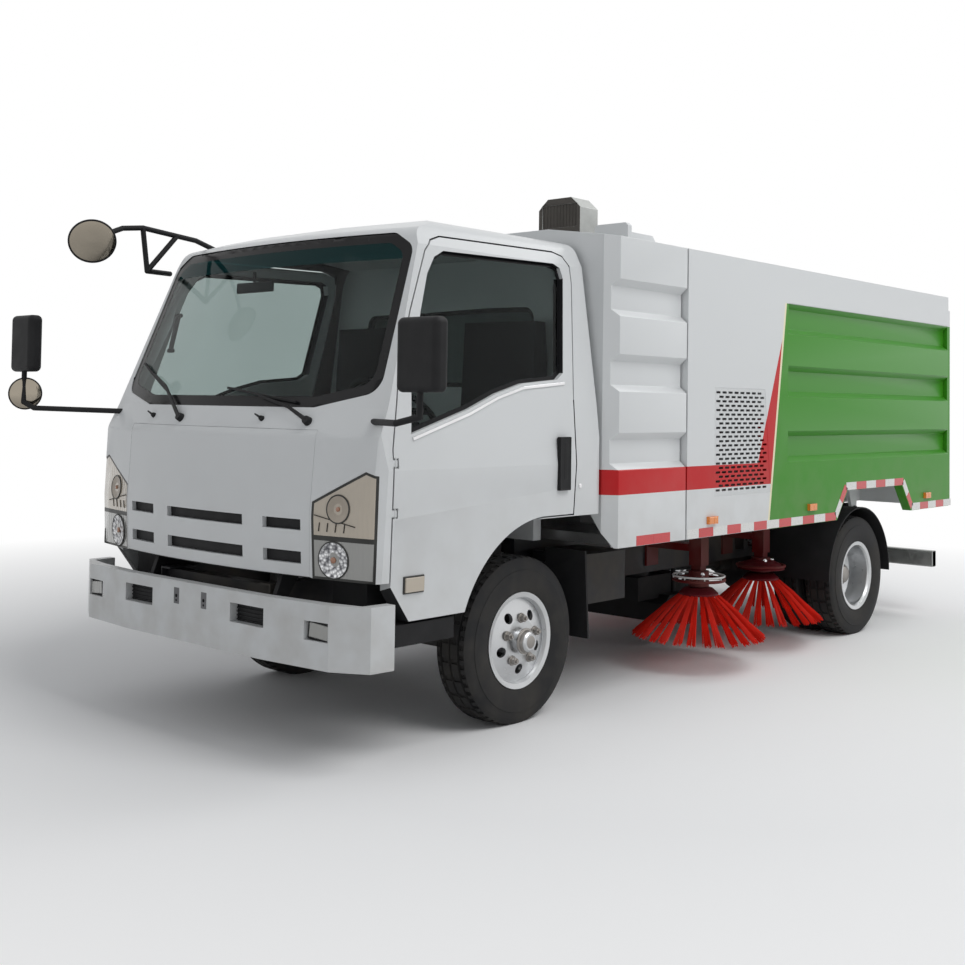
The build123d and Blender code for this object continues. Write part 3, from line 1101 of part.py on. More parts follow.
with BuildPart() as hopper:
    with BuildSketch(Plane.YZ.offset(ax(HOPPER_REAR))) as outer:
        make_face(body_section(0))
    extrude(outer.sketch, amount=HOPPER_FRONT - HOPPER_REAR)
    # load space, fan room ahead of the partition, and the open underside
    for x0, x1 in ((HOPPER_REAR + BODY_WALL, PARTITION_X - BODY_WALL), (PARTITION_X, HOPPER_FRONT - BODY_WALL)):
        with BuildSketch(Plane.YZ.offset(ax(x0))) as inner:
            make_face(body_section(BODY_WALL))
            with Locations((0, INNER_FLOOR - 500)):
                Rectangle(2 * BODY_HALF_W, 1000, mode=Mode.SUBTRACT)
        extrude(inner.sketch, amount=x1 - x0, mode=Mode.SUBTRACT)
    with BuildSketch(Plane.YZ.offset(ax(HOPPER_REAR))) as aperture:
        with Locations((0, (INNER_FLOOR + APERTURE_TOP) / 2)):
            Rectangle(2 * (BODY_HALF_W - BODY_WALL - 20), APERTURE_TOP - INNER_FLOOR)
    extrude(aperture.sketch, amount=BODY_WALL, mode=Mode.SUBTRACT)
    for y0, y1 in ((-BODY_HALF_W + BODY_WALL, -RAIL_OUT), (-RAIL_IN, RAIL_IN), (RAIL_OUT, BODY_HALF_W - BODY_WALL)):
        with Locations((ax((HOPPER_REAR + HOPPER_FRONT) / 2), (y0 + y1) / 2, (BODY_BOTTOM + FLOOR_Z) / 2)):
            Box(HOPPER_FRONT - HOPPER_REAR - 2 * BEARER_W, y1 - y0, FLOOR_Z - BODY_BOTTOM, mode=Mode.SUBTRACT)
    add(bands(HOPPER_REAR - 1, PANEL_REAR), mode=Mode.SUBTRACT)
    add(arch_cut.part, mode=Mode.SUBTRACT)
    # hinge ears under the rear bearers
    for side in (1, -1):
        with BuildSketch(Plane.XZ.offset(-side * (RAIL_OUT + 50))) as ear:
            with BuildLine() as outline:
                Polyline((ax(TIP_X - 60), FLOOR_Z), (ax(TIP_X + 120), FLOOR_Z), (ax(TIP_X + 36), TIP_Z), (ax(TIP_X - 36), TIP_Z), close=True)
            make_face(outline.edges())
            with Locations((ax(TIP_X), TIP_Z)):
                Circle(36)
                Circle(20 + PIN_CLEARANCE, mode=Mode.SUBTRACT)
        extrude(ear.sketch, amount=-side * 24)
        # brackets for the tipping cylinders' eyes, and the rear door's hinge lugs
        for y in (side * CYLINDER_Y - 42, side * CYLINDER_Y + 30):
            bar_box((CYLINDER_EYE[0] - 40, CYLINDER_EYE[0] + 40), (y, y + 12), (CYLINDER_EYE[1] - 40, FLOOR_Z + 1))
        with BuildSketch(Plane.XZ.offset(-side * 700)) as lug:
            make_face(side_outline((HOPPER_REAR + 1, GATE_PIN_Z - 30), (HOPPER_REAR + 1, GATE_PIN_Z + 40),
                                   (GATE_PIN_X - 20, GATE_PIN_Z + 20), (GATE_PIN_X - 20, GATE_PIN_Z - 20)))
            with Locations((ax(GATE_PIN_X), GATE_PIN_Z)):
                Circle(10 + PIN_CLEARANCE, mode=Mode.SUBTRACT)
        extrude(lug.sketch, amount=-side * 20)
    # low cover over the fan on the roof
    with BuildSketch(Plane.XZ.offset(-HUMP_Y[1])) as hump:
        z = BODY_TOP + ROOF_RISE - 1
        make_face(side_outline((HUMP_X[0], z), (HUMP_X[0] + 90, z + HUMP_H), (HUMP_X[1] - 60, z + HUMP_H), (HUMP_X[1], z)))
    extrude(hump.sketch, amount=HUMP_Y[1] - HUMP_Y[0])
    # vent openings into the fan room
    add(vent_prisms(0), mode=Mode.SUBTRACT)
    # suction inlet collar under the fan room floor
    with BuildSketch(Plane.XY.offset(BODY_BOTTOM)) as collar:
        with Locations((ax(DUCT_X), DUCT_Y)):
            Circle(DUCT_R + 6)
    extrude(collar.sketch, amount=FLOOR_Z - BODY_BOTTOM + 1)
    with BuildSketch(Plane.XY.offset(BODY_BOTTOM - 1)) as inlet:
        with Locations((ax(DUCT_X), DUCT_Y)):
            Circle(DUCT_R)
    extrude(inlet.sketch, amount=INNER_FLOOR - BODY_BOTTOM + 2, mode=Mode.SUBTRACT)
save(hopper.part, "hopper")

with BuildPart() as vent_grilles:
    add(vent_prisms(SEAT_GAP))
    for side in (1, -1):
        face_y = BODY_HALF_W - VENT_IN
        bar_box((VENT[2][0] - 200, VENT[0][0] + 50), sorted((side * face_y, side * (face_y + 20))), (900, 1700), mode=Mode.SUBTRACT)
        bar_box((VENT[2][0] - 200, VENT[0][0] + 50), sorted((side * (face_y - VENT_T), side * (face_y - 100))), (900, 1700), mode=Mode.SUBTRACT)
    low, high, rows = SLOT_ROWS_Z
    with BuildSketch(Plane.XZ.offset(-BODY_HALF_W - 5)) as slots:
        for row in range(rows):
            z = low + (high - low) * row / (rows - 1)
            edge = VENT[3][0] + (z - VENT[3][1]) * (VENT[2][0] - VENT[3][0]) / (VENT[2][1] - VENT[3][1])
            start = VENT[0][0] - 18 - SLOT_L / 2 - (row % 2) * SLOT_PITCH / 2
            count = int((start - SLOT_L / 2 - edge - 12) // SLOT_PITCH) + 1
            with Locations(*[(ax(start - SLOT_PITCH * k), z) for k in range(count)]):
                Rectangle(SLOT_L, SLOT_H)
    extrude(slots.sketch, amount=2 * BODY_HALF_W + 10, mode=Mode.SUBTRACT)
save(vent_grilles.part, "vent_grilles")

#               ahead of the front axle, height
SIDE_LAMPS = ((-1322.0, 874.0), (-2456.0, 885.0), (-4179.0, 880.0))
with BuildPart() as side_lamps:
    for side in (1, -1):
        for x, z in SIDE_LAMPS:
            y = sorted((side * (BODY_HALF_W + SEAT_GAP), side * (BODY_HALF_W + 18)))
            bar_box((x - 45, x + 45), y, (z - 20, z + 20))
save(side_lamps.part, "side_lamps")

GATE_Z = (800.0, 2205.0)
GATE_HALF = BODY_HALF_W - 12
GATE_X = (HOPPER_REAR - GAP - GATE_T, HOPPER_REAR - GAP)
with BuildPart() as rear_door:
    bar_box(GATE_X, (-GATE_HALF, GATE_HALF), GATE_Z)
    for z in (900.0, 1320.0, 1740.0, 2130.0):
        bar_box((GATE_X[0] - 25, GATE_X[0] + 1), (-GATE_HALF + 60, GATE_HALF - 60), (z - 35, z + 35))
    for y in (-760.0, 0.0, 760.0):
        bar_box((GATE_X[0] - 25, GATE_X[0] + 1), (y - 35, y + 35), (GATE_Z[0] + 40, GATE_Z[1] - 40))
    for side in (1, -1):
        for y in (side * 710 - 26, side * 710 + 14):
            with BuildSketch(Plane.XZ.offset(-y)) as lug:
                make_face(side_outline((GATE_X[1], GATE_Z[1] - 1), (GATE_PIN_X + 16, GATE_PIN_Z), (GATE_PIN_X - 16, GATE_PIN_Z), (GATE_X[0], GATE_Z[1] - 1)))
                with Locations((ax(GATE_PIN_X), GATE_PIN_Z)):
                    Circle(16)
            extrude(lug.sketch, amount=-12)
        with BuildSketch(Plane.XZ.offset(-(side * 710 - 26))) as pin:
            with Locations((ax(GATE_PIN_X), GATE_PIN_Z)):
                Circle(10)
        extrude(pin.sketch, amount=-52)
save(rear_door.part, "rear_door")

# ---------------------------------------------------------------- tipping gear
CYLINDER_R = 46.0
ROD_R = 27.0
CYLINDER_DIR = Vector(CYLINDER_EYE[0] - CYLINDER_BASE[0], 0, CYLINDER_EYE[1] - CYLINDER_BASE[1]).normalized()
CLOSED = Vector(CYLINDER_EYE[0] - CYLINDER_BASE[0], 0, CYLINDER_EYE[1] - CYLINDER_BASE[1]).length
BARREL_END = CLOSED - 110.0
BASE_EYE_R = 36.0
CYLINDER_PIN_R = 18.0


def cylinder_plane(side, along):
    base = Vector(ax(CYLINDER_BASE[0]), side * CYLINDER_Y, CYLINDER_BASE[1])
    return Plane(origin=base + CYLINDER_DIR * along, x_dir=(0, 1, 0), z_dir=CYLINDER_DIR)


def eye(side, x, z, radius, width, bore):
    """Ring eye across Y at a cylinder's end."""
    with BuildPart() as ring:
        with BuildSketch(Plane.XZ.offset(-(side * CYLINDER_Y - width / 2))) as face:
            with Locations((ax(x), z)):
                Circle(radius)
                Circle(bore, mode=Mode.SUBTRACT)
        extrude(face.sketch, amount=-width)
    return ring.part


with BuildPart() as tip_barrels:
    for side in (1, -1):
        with BuildSketch(cylinder_plane(side, 25)) as neck:
            Circle(24)
        extrude(neck.sketch, amount=45)
        with BuildSketch(cylinder_plane(side, 62)) as body:
            Circle(CYLINDER_R)
        extrude(body.sketch, amount=BARREL_END - 62)
        with BuildSketch(cylinder_plane(side, 70)) as bore:
            Circle(ROD_R + PIN_CLEARANCE)
        extrude(bore.sketch, amount=BARREL_END, mode=Mode.SUBTRACT)
        add(eye(side, *CYLINDER_BASE, BASE_EYE_R, 50, CYLINDER_PIN_R + PIN_CLEARANCE))
save(tip_barrels.part, "tip_barrels")

with BuildPart() as tip_rods:
    for side in (1, -1):
        with BuildSketch(cylinder_plane(side, 90)) as rod:
            Circle(ROD_R)
        extrude(rod.sketch, amount=CLOSED - 90 - 25)
        add(eye(side, *CYLINDER_EYE, 34, 58, 16))
save(tip_rods.part, "tip_rods")

# root side of the tipping gear: cylinder feet and the hopper's hinge pins
TIP_CROSS_X = -3210.0          # front face of the crossmember that the cylinders push on
TIP_BRACKET_X = (-3270.0, -3215.0)
TIP_PLATE_Y = (40.0, 28.0)     # the two side plates, outside and inside the cylinder's middle
TIP_PLATE_T = 12.0

with BuildPart() as tip_brackets:
    for side in (1, -1):
        for y in (side * CYLINDER_Y - TIP_PLATE_Y[0], side * CYLINDER_Y + TIP_PLATE_Y[1]):
            bar_box((TIP_CROSS_X + SEAT_GAP, CYLINDER_BASE[0] + 30), (y, y + TIP_PLATE_T),
                    (CYLINDER_BASE[1] - 35, CYLINDER_BASE[1] + 35))
            bar_box((TIP_BRACKET_X[0], TIP_CROSS_X + SEAT_GAP + 20), (y, y + TIP_PLATE_T),
                    (CYLINDER_BASE[1] - 35, CROSS_Z[0] - SEAT_GAP))
        bar_box(TIP_BRACKET_X, (side * CYLINDER_Y - TIP_PLATE_Y[0], side * CYLINDER_Y + TIP_PLATE_Y[0]),
                (CROSS_Z[0] - 14, CROSS_Z[0] - SEAT_GAP))
        with BuildSketch(Plane.XZ.offset(-(side * CYLINDER_Y - 40))) as pin:
            with Locations((ax(CYLINDER_BASE[0]), CYLINDER_BASE[1])):
                Circle(CYLINDER_PIN_R)
        extrude(pin.sketch, amount=-80)
        # hinge bracket outside each rail, with its pin through the hopper's ear
        y = sorted((side * (RAIL_OUT + SEAT_GAP), side * (RAIL_OUT + 40)))
        bar_box((TIP_X - 60, TIP_X + 60), y, (RAIL_TOP - 120, TIP_Z + 36))
        with BuildSketch(Plane.XZ.offset(-side * (RAIL_OUT + 30))) as pin:
            with Locations((ax(TIP_X), TIP_Z)):
                Circle(20)
        extrude(pin.sketch, amount=-side * 60)
save(tip_brackets.part, "tip_brackets")

# ---------------------------------------------------------------- suction nozzle
NOZZLE_X = (-2240.0, -1920.0)
NOZZLE_HALF = 370.0
NOZZLE_Z = (170.0, 330.0)
PLENUM_Z = 450.0
NECK_TOP = 650.0
NECK_R = 95.0
SHEET = 8.0
GUIDE_X = -2110.0
GUIDE_Y = 306.0
GUIDE_R = 14.0
GUIDE_TOP = 750.0

with BuildPart() as suction_nozzle:
    bar_box(NOZZLE_X, (-NOZZLE_HALF, NOZZLE_HALF), NOZZLE_Z)
    chamfer(suction_nozzle.edges().filter_by(Axis.Y).group_by(Axis.Z)[-1], 50)
    bar_box((NOZZLE_X[0] + 60, DUCT_X + NECK_R + 15), (DUCT_Y - 110, DUCT_Y + 110), (NOZZLE_Z[1] - 20, PLENUM_Z))
    with BuildSketch(Plane.XY.offset(PLENUM_Z)) as neck:
        with Locations((ax(DUCT_X), DUCT_Y)):
            Circle(NECK_R)
    extrude(neck.sketch, amount=NECK_TOP - PLENUM_Z)
    # mouth and throat
    mid = ((NOZZLE_X[0] + NOZZLE_X[1]) / 2, (NOZZLE_Z[0] + NOZZLE_Z[1] - SHEET) / 2)
    with Locations((ax(mid[0]), 0, mid[1] - 6)):
        Box(NOZZLE_X[1] - NOZZLE_X[0] - 100, 2 * NOZZLE_HALF - 2 * SHEET, NOZZLE_Z[1] - NOZZLE_Z[0] - 10, mode=Mode.SUBTRACT)
    with Locations((ax((NOZZLE_X[0] + DUCT_X + NECK_R + 75) / 2), DUCT_Y, (NOZZLE_Z[1] + PLENUM_Z) / 2 - 12)):
        Box(DUCT_X + NECK_R - NOZZLE_X[0] - 45 - 2 * SHEET, 220 - 2 * SHEET, PLENUM_Z - NOZZLE_Z[1], mode=Mode.SUBTRACT)
    with BuildSketch(Plane.XY.offset(PLENUM_Z - 40)) as throat:
        with Locations((ax(DUCT_X), DUCT_Y)):
            Circle(NECK_R - SHEET)
    extrude(throat.sketch, amount=NECK_TOP - PLENUM_Z + 50, mode=Mode.SUBTRACT)
    for side in (1, -1):
        with BuildSketch(Plane.XY.offset(NOZZLE_Z[1] - 20)) as guide:
            with Locations((ax(GUIDE_X), side * GUIDE_Y)):
                Circle(GUIDE_R)
        extrude(guide.sketch, amount=GUIDE_TOP - NOZZLE_Z[1] + 20)
save(suction_nozzle.part, "suction_nozzle")

with BuildPart() as suction_duct:
    with BuildSketch(Plane.XY.offset(480)) as sleeve:
        with Locations((ax(DUCT_X), DUCT_Y)):
            Circle(DUCT_R + 6)
    extrude(sleeve.sketch, amount=BODY_BOTTOM - SEAT_GAP - 480)
    with BuildSketch(Plane.XY.offset(BODY_BOTTOM - SEAT_GAP - 14)) as flange:
        with Locations((ax(DUCT_X), DUCT_Y)):
            Circle(DUCT_R + 28)
    extrude(flange.sketch, amount=14)
    bar_box((DUCT_X + DUCT_R, -1700 - CROSS_T / 2 - SEAT_GAP), (DUCT_Y - 40, DUCT_Y + 40), (CROSS_Z[0] + 10, CROSS_Z[1] - 10))
    with BuildSketch(Plane.XY.offset(470)) as bore:
        with Locations((ax(DUCT_X), DUCT_Y)):
            Circle(DUCT_R)
    extrude(bore.sketch, amount=400, mode=Mode.SUBTRACT)
save(suction_duct.part, "suction_duct")

# ---------------------------------------------------------------- side brushes
#          name           x        y
BRUSHES = (("front_left", -1720.0, 730.0), ("front_right", -1720.0, -730.0),
           ("rear_left", -2575.0, 650.0), ("rear_right", -2575.0, -650.0))
TUFTS = 28
TIP_R = 390.0
TIP_BOTTOM = 160.0
CUP_R = 112.0
CUP_Z = (402.0, 446.0)
MOTOR_Z = (452.0, 540.0)
BRUSH_SPINDLE_R = 20.0
GUARD_R = 145.0
GUARD_Z = 490.0
POST = 60.0
POST_TOP = 735.0
SLEEVE_Z = (570.0, 770.0)
LIFT_GAP = 0.4

with BuildPart() as brush_frames:
    for _, x, y in BRUSHES:
        side = 1 if y > 0 else -1
        with BuildSketch(Plane.XY.offset(SLEEVE_Z[0])) as sleeve:
            with Locations((ax(x), y)):
                Rectangle(POST + 20, POST + 20)
                Rectangle(POST + 2 * LIFT_GAP, POST + 2 * LIFT_GAP, mode=Mode.SUBTRACT)
        extrude(sleeve.sketch, amount=SLEEVE_Z[1] - SLEEVE_Z[0])
        bar_box((x - 45, x + 45), sorted((side * (RAIL_OUT + SEAT_GAP), y - side * (POST / 2 + 8))), (650, 690))
        bar_box((x - 60, x + 60), sorted((side * (RAIL_OUT + SEAT_GAP), side * (RAIL_OUT + 14))), (540, 696))
    # guide bushes of the suction nozzle on the rails
    for side in (1, -1):
        with BuildSketch(Plane.XY.offset(560)) as bush:
            with Locations((ax(GUIDE_X), side * (RAIL_IN - SEAT_GAP - 25))):
                Rectangle(70, 50)
            with Locations((ax(GUIDE_X), side * (RAIL_IN + RAIL_OUT - RAIL_T - SEAT_GAP - 10) / 2)):
                Rectangle(50, RAIL_OUT - RAIL_T - SEAT_GAP - RAIL_IN + 10)
            with Locations((ax(GUIDE_X), side * GUIDE_Y)):
                Circle(GUIDE_R + LIFT_GAP, mode=Mode.SUBTRACT)
        extrude(bush.sketch, amount=45)
save(brush_frames.part, "brush_frames")


def brush_head(name, x, y):
    """Lift post, drive motor and the guard ring round it."""
    with BuildPart() as head:
        with BuildSketch(Plane.XY.offset(MOTOR_Z[1] - 10)) as post:
            with Locations((ax(x), y)):
                Rectangle(POST, POST)
        extrude(post.sketch, amount=POST_TOP - MOTOR_Z[1] + 10)
        with BuildSketch(Plane.XY.offset(MOTOR_Z[0])) as motor:
            with Locations((ax(x), y)):
                Circle(58)
        extrude(motor.sketch, amount=MOTOR_Z[1] - MOTOR_Z[0])
        with BuildSketch(Plane.XY.offset(CUP_Z[0] + 10)) as spindle:
            with Locations((ax(x), y)):
                Circle(BRUSH_SPINDLE_R)
        extrude(spindle.sketch, amount=MOTOR_Z[0] - CUP_Z[0] - 9)
        with BuildSketch(Plane.XZ.offset(-y)) as bead:
            with Locations((ax(x) + GUARD_R, GUARD_Z)):
                Circle(9)
        revolve(bead.sketch, axis=Axis((ax(x), y, 0), (0, 0, 1)))
        with BuildSketch(Plane.XY.offset(GUARD_Z - 6)) as spokes:
            with Locations((ax(x), y)):
                with PolarLocations(GUARD_R / 2, 3, start_angle=30):
                    Rectangle(GUARD_R, 16)
        extrude(spokes.sketch, amount=12)
    save(head.part, f"brush_head_{name}")


def side_brush(name, x, y):
    """Cup with flat bristle bundles fanning out and down to the tips."""
    root = Vector(CUP_R - 22, 0, CUP_Z[0] + 16)
    tip = Vector(TIP_R, 0, TIP_BOTTOM + 8)
    along = (tip - root).normalized()
    length = (tip - root).length
    with BuildPart() as tuft:
        with BuildSketch(Plane(origin=root, x_dir=along, z_dir=along.cross(Vector(0, 1, 0)) * -1)) as flat:
            make_face(closed((0, -9), (length, -30), (length - 4, 0), (length, 30), (0, 9)))
        extrude(flat.sketch, amount=7, both=True)
    with BuildPart() as brush:
        with BuildSketch(Plane.XY.offset(CUP_Z[0])) as cup:
            with Locations((ax(x), y)):
                Circle(CUP_R)
        extrude(cup.sketch, amount=CUP_Z[1] - CUP_Z[0], taper=35)
        with BuildSketch(Plane.XY.offset(CUP_Z[0] + 6)) as bore:
            with Locations((ax(x), y)):
                Circle(BRUSH_SPINDLE_R + PIN_CLEARANCE)
        extrude(bore.sketch, amount=CUP_Z[1] - CUP_Z[0], mode=Mode.SUBTRACT)
        with Locations((ax(x), y, 0)):
            with PolarLocations(0, TUFTS):
                add(tuft.part)
    save(brush.part, f"brush_{name}")


for name, x, y in BRUSHES:
    brush_head(name, x, y)
    side_brush(name, x, y)
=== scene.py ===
import json
import math
import random

import bmesh
import bpy
from bpy.props import FloatVectorProperty, IntProperty, PointerProperty
from mathutils import Matrix, Vector
from mathutils.bvhtree import BVHTree


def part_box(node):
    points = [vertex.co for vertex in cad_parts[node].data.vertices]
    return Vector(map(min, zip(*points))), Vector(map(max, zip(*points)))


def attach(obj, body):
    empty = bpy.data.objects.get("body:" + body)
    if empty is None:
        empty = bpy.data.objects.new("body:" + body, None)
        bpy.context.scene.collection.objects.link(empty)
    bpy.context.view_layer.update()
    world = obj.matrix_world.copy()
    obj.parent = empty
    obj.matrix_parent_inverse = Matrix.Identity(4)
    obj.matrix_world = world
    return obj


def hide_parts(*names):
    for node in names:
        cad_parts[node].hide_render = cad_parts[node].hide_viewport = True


bl_info = {
    "name": "Street sweeper truck",
    "version": (1, 0, 0),
    "blender": (4, 5, 0),
    "location": "3D View > Sidebar > Sweeper",
    "description": "Dresses the packed street sweeper truck with its finishes and detailed pieces",
    "category": "Object",
}

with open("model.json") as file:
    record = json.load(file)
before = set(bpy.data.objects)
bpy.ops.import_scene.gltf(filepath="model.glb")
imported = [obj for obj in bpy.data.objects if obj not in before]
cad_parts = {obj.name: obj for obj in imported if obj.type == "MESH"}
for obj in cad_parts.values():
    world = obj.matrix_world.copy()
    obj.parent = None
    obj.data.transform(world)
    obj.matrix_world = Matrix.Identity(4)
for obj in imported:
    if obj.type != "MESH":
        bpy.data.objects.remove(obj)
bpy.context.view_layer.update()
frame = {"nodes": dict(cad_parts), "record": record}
NODES = frame["nodes"]
BODIES = frame["record"]["behaviour"]["bodies"]
BODY_OF = {node: body for body, nodes in BODIES.items() for node in nodes}
SIDES = (("left", 1), ("right", -1))


def corners(node):
    """Lower and upper corner of a node's box, in metres."""
    return [Vector(corner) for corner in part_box(node)]


def middle(node):
    """Centre of a node's box."""
    low, high = corners(node)
    return (low + high) / 2


FRONT_AXLE = middle("rim_front_left").x
REAR_AXLE = middle("rims_rear_left").x
AXLE_Z = middle("rim_front_left").z


def ax(x):
    """Metres ahead of the front axle to the truck's own X."""
    return FRONT_AXLE + x


# ---------------------------------------------------------------- node helpers
class Tree:
    """A node tree with short calls for the nodes that the finishes and the world share."""

    def __init__(self, tree):
        self.tree = tree
        tree.nodes.clear()

    def new(self, kind, inputs=(), **settings):
        """Node of a kind, with its settings, and its inputs by name or number."""
        node = self.tree.nodes.new("ShaderNode" + kind)
        for name, value in settings.items():
            setattr(node, name, value)
        for name, value in dict(inputs).items():
            self.put(node.inputs[name], value)
        return node

    def put(self, socket, value):
        """Links a socket to another one, or sets its constant."""
        if isinstance(value, bpy.types.NodeSocket):
            self.tree.links.new(value, socket)
        else:
            socket.default_value = value

    def math(self, operation, a, b=0.0, clamp=False):
        return self.new("Math", {0: a, 1: b}, operation=operation, use_clamp=clamp).outputs[0]

    def seen_rays(self):
        """1 for rays that reach the camera straight, by a reflection or through glass."""
        rays = self.new("LightPath").outputs
        total = rays["Is Camera Ray"]
        for ray in ("Is Glossy Ray", "Is Transmission Ray"):
            total = self.math("ADD", total, rays[ray], clamp=True)
        return total


class Nodes(Tree):
    """A material's node tree round one Principled shader."""

    def __init__(self, name):
        self.material = bpy.data.materials.new(name)
        self.material.use_nodes = True
        super().__init__(self.material.node_tree)
        self.shader = self.new("BsdfPrincipled")
        self.output = self.new("OutputMaterial", {0: self.shader.outputs[0]})
        self.coords = self.new("TexCoord").outputs["Object"]

    def set(self, **values):
        for name, value in values.items():
            self.put(self.shader.inputs[name.replace("_", " ").title().replace("Ior", "IOR")], value)
        return self

    def axes(self):
        return self.new("SeparateXYZ", {0: self.coords}).outputs

    def noise(self, scale, detail=3.0):
        return self.new("TexNoise", {"Vector": self.coords, "Scale": scale, "Detail": detail}).outputs["Fac"]

    def cells(self, scale, feature="F1"):
        """Distance within the cells of a Voronoi pattern, or to their edges."""
        cells = self.new("TexVoronoi", {"Vector": self.coords, "Scale": scale}, feature=feature)
        return cells.outputs["Distance"]

    def ramp(self, source, low, high, start=0.0, end=1.0):
        """source mapped from low..high to start..end and held at both ends."""
        return self.new("MapRange", {"Value": source, "From Min": low, "From Max": high,
                                     "To Min": start, "To Max": end}).outputs[0]

    def mix(self, factor, a, b):
        return self.new("Mix", {0: factor, 6: a, 7: b}, data_type="RGBA").outputs[2]

    def bump(self, height, strength, distance):
        bump = self.new("Bump", {"Strength": strength, "Distance": distance, "Height": height})
        self.put(self.shader.inputs["Normal"], bump.outputs[0])
        return self


def rgba(color, factor=1.0):
    return (color[0] * factor, color[1] * factor, color[2] * factor, 1.0)


# ---------------------------------------------------------------- finishes
PAINT_DUST = (0.32, 0.29, 0.25, 1)
CHASSIS_DUST = (0.13, 0.115, 0.095, 1)
TYRE_DUST = (0.085, 0.078, 0.068, 1)
CREAM = (0.80, 0.74, 0.52)      # thin line ahead of the green


def gloss(n, color, height, dirt):
    """Gloss vehicle paint under dust, most of it at the lower of two heights and none at the upper."""
    _, _, z = n.axes()
    dust = n.math("MULTIPLY", n.ramp(z, *height, dirt, 0.0), n.ramp(n.noise(7.0), 0.35, 0.75))
    uneven = n.ramp(n.noise(3.0), 0.1, 0.9, 0.30, 0.32)
    n.set(base_color=n.mix(dust, color, PAINT_DUST),
          roughness=n.math("ADD", uneven, n.math("MULTIPLY", dust, 0.5)), coat_weight=0.08,
          coat_roughness=0.10, specular_ior_level=0.14)
    return n.material


def paint(name, color, dirt):
    """Gloss paint of one colour, dustier towards the ground."""
    n = Nodes(name)
    return gloss(n, n.mix(n.ramp(n.noise(1.6), 0.3, 0.7), rgba(color, 0.97), rgba(color)), (0.35, 1.3), dirt)


def plastic(name, color, roughness=0.55, grain=900.0, depth=0.0003):
    """Moulded plastic or rubber with a fine grain."""
    n = Nodes(name)
    n.set(base_color=n.mix(n.ramp(n.noise(9.0), 0.3, 0.7), rgba(color, 0.85), rgba(color, 1.12)),
          roughness=n.ramp(n.noise(14.0), 0.3, 0.7, roughness - 0.06, roughness + 0.06),
          specular_ior_level=0.14)
    n.bump(n.noise(grain, 2.0), 0.3, depth)
    return n.material


def metal(name, color, roughness, grain=60.0):
    """Bare, plated or painted metal of uneven polish."""
    n = Nodes(name)
    n.set(base_color=n.mix(n.ramp(n.noise(5.0), 0.35, 0.7), rgba(color, 0.88), rgba(color)), metallic=1.0,
          roughness=n.ramp(n.noise(grain), 0.3, 0.7, roughness - 0.07, roughness + 0.09))
    return n.material


def chassis_paint(name, color=(0.022, 0.022, 0.024), dust=0.5):
    """Frame paint under patches of road dust."""
    n = Nodes(name)
    patches = n.ramp(n.noise(4.0, 5.0), 0.42, 0.72)
    n.set(base_color=n.mix(n.math("MULTIPLY", patches, dust), rgba(color), CHASSIS_DUST),
          roughness=n.ramp(patches, 0.0, 1.0, 0.42, 0.85), specular_ior_level=0.2)
    n.bump(n.noise(120.0, 4.0), 0.25, 0.001)
    return n.material


def tyre_rubber(name):
    """Dusty rubber."""
    n = Nodes(name)
    dust = n.ramp(n.noise(6.0, 5.0), 0.4, 0.75)
    n.set(base_color=n.mix(n.math("MULTIPLY", dust, 0.45), (0.018, 0.018, 0.019, 1), TYRE_DUST),
          roughness=n.ramp(dust, 0.0, 1.0, 0.62, 0.88), specular_ior_level=0.2)
    n.bump(n.noise(260.0), 0.3, 0.0006)
    return n.material


def glass(name, tint, clear=1.0):
    """Thin tinted glass, or a darker printed band where it is less clear."""
    n = Nodes(name)
    n.set(base_color=n.mix(n.ramp(n.noise(2.0), 0.3, 0.7), rgba(tint), rgba(tint, 0.94)), ior=1.14,
          roughness=0.0, transmission_weight=clear)
    return n.material


def lens(name, color):
    """Moulded lamp lens with fine optic ribs."""
    n = Nodes(name)
    ribs = n.new("TexWave", {"Vector": n.coords, "Scale": 13.0}, bands_direction="Y")
    n.set(base_color=rgba(color), roughness=0.12, coat_weight=0.6, coat_roughness=0.03)
    n.bump(ribs.outputs["Fac"], 0.5, 0.002)
    return n.material


def facets(name):
    """Bright lamp reflector of small facets."""
    n = Nodes(name)
    cells = n.cells(70.0)
    n.set(base_color=n.mix(n.ramp(cells, 0.1, 0.8), (0.78, 0.79, 0.80, 1), (0.10, 0.10, 0.11, 1)),
          metallic=1.0, roughness=0.14)
    n.bump(cells, 0.8, 0.004)
    return n.material


def tape_finish(name, color):
    """Reflective tape with its hexagon print."""
    n = Nodes(name)
    print_edges = n.ramp(n.cells(180.0, "DISTANCE_TO_EDGE"), 0.02, 0.09)
    n.set(base_color=n.mix(print_edges, rgba(color, 0.72), rgba(color)),
          roughness=0.28, coat_weight=0.4, coat_roughness=0.1)
    return n.material


# heights and sloping lines on the body's sides; a line is x = a + b z, from the front axle
SIDE_FROM = 0.955               # the colours lie on faces at least this far from the middle
SLOPE = -0.1518
GREEN_FRONT = (-1.955 - SLOPE * 0.845, SLOPE)
SPIKE_REAR = (GREEN_FRONT[0] + 0.020, SLOPE)
SPIKE_FRONT = (-1.8240 + 0.3835 * 1.1774, -0.3835)
STRIPE_Z = (1.042, 1.164)
SPIKE_TOP = 1.905
GREEN_TOP = 2.088


def line_test(n, x, z, kind, a, b=0.0):
    """1 above or below the height a, or ahead of or behind the line x = a + b z."""
    if kind in ("above", "below"):
        return n.math("GREATER_THAN" if kind == "above" else "LESS_THAN", z, a)
    line = n.math("ADD", a, n.math("MULTIPLY", z, b))
    return n.math("GREATER_THAN" if kind == "ahead" else "LESS_THAN", x, line)


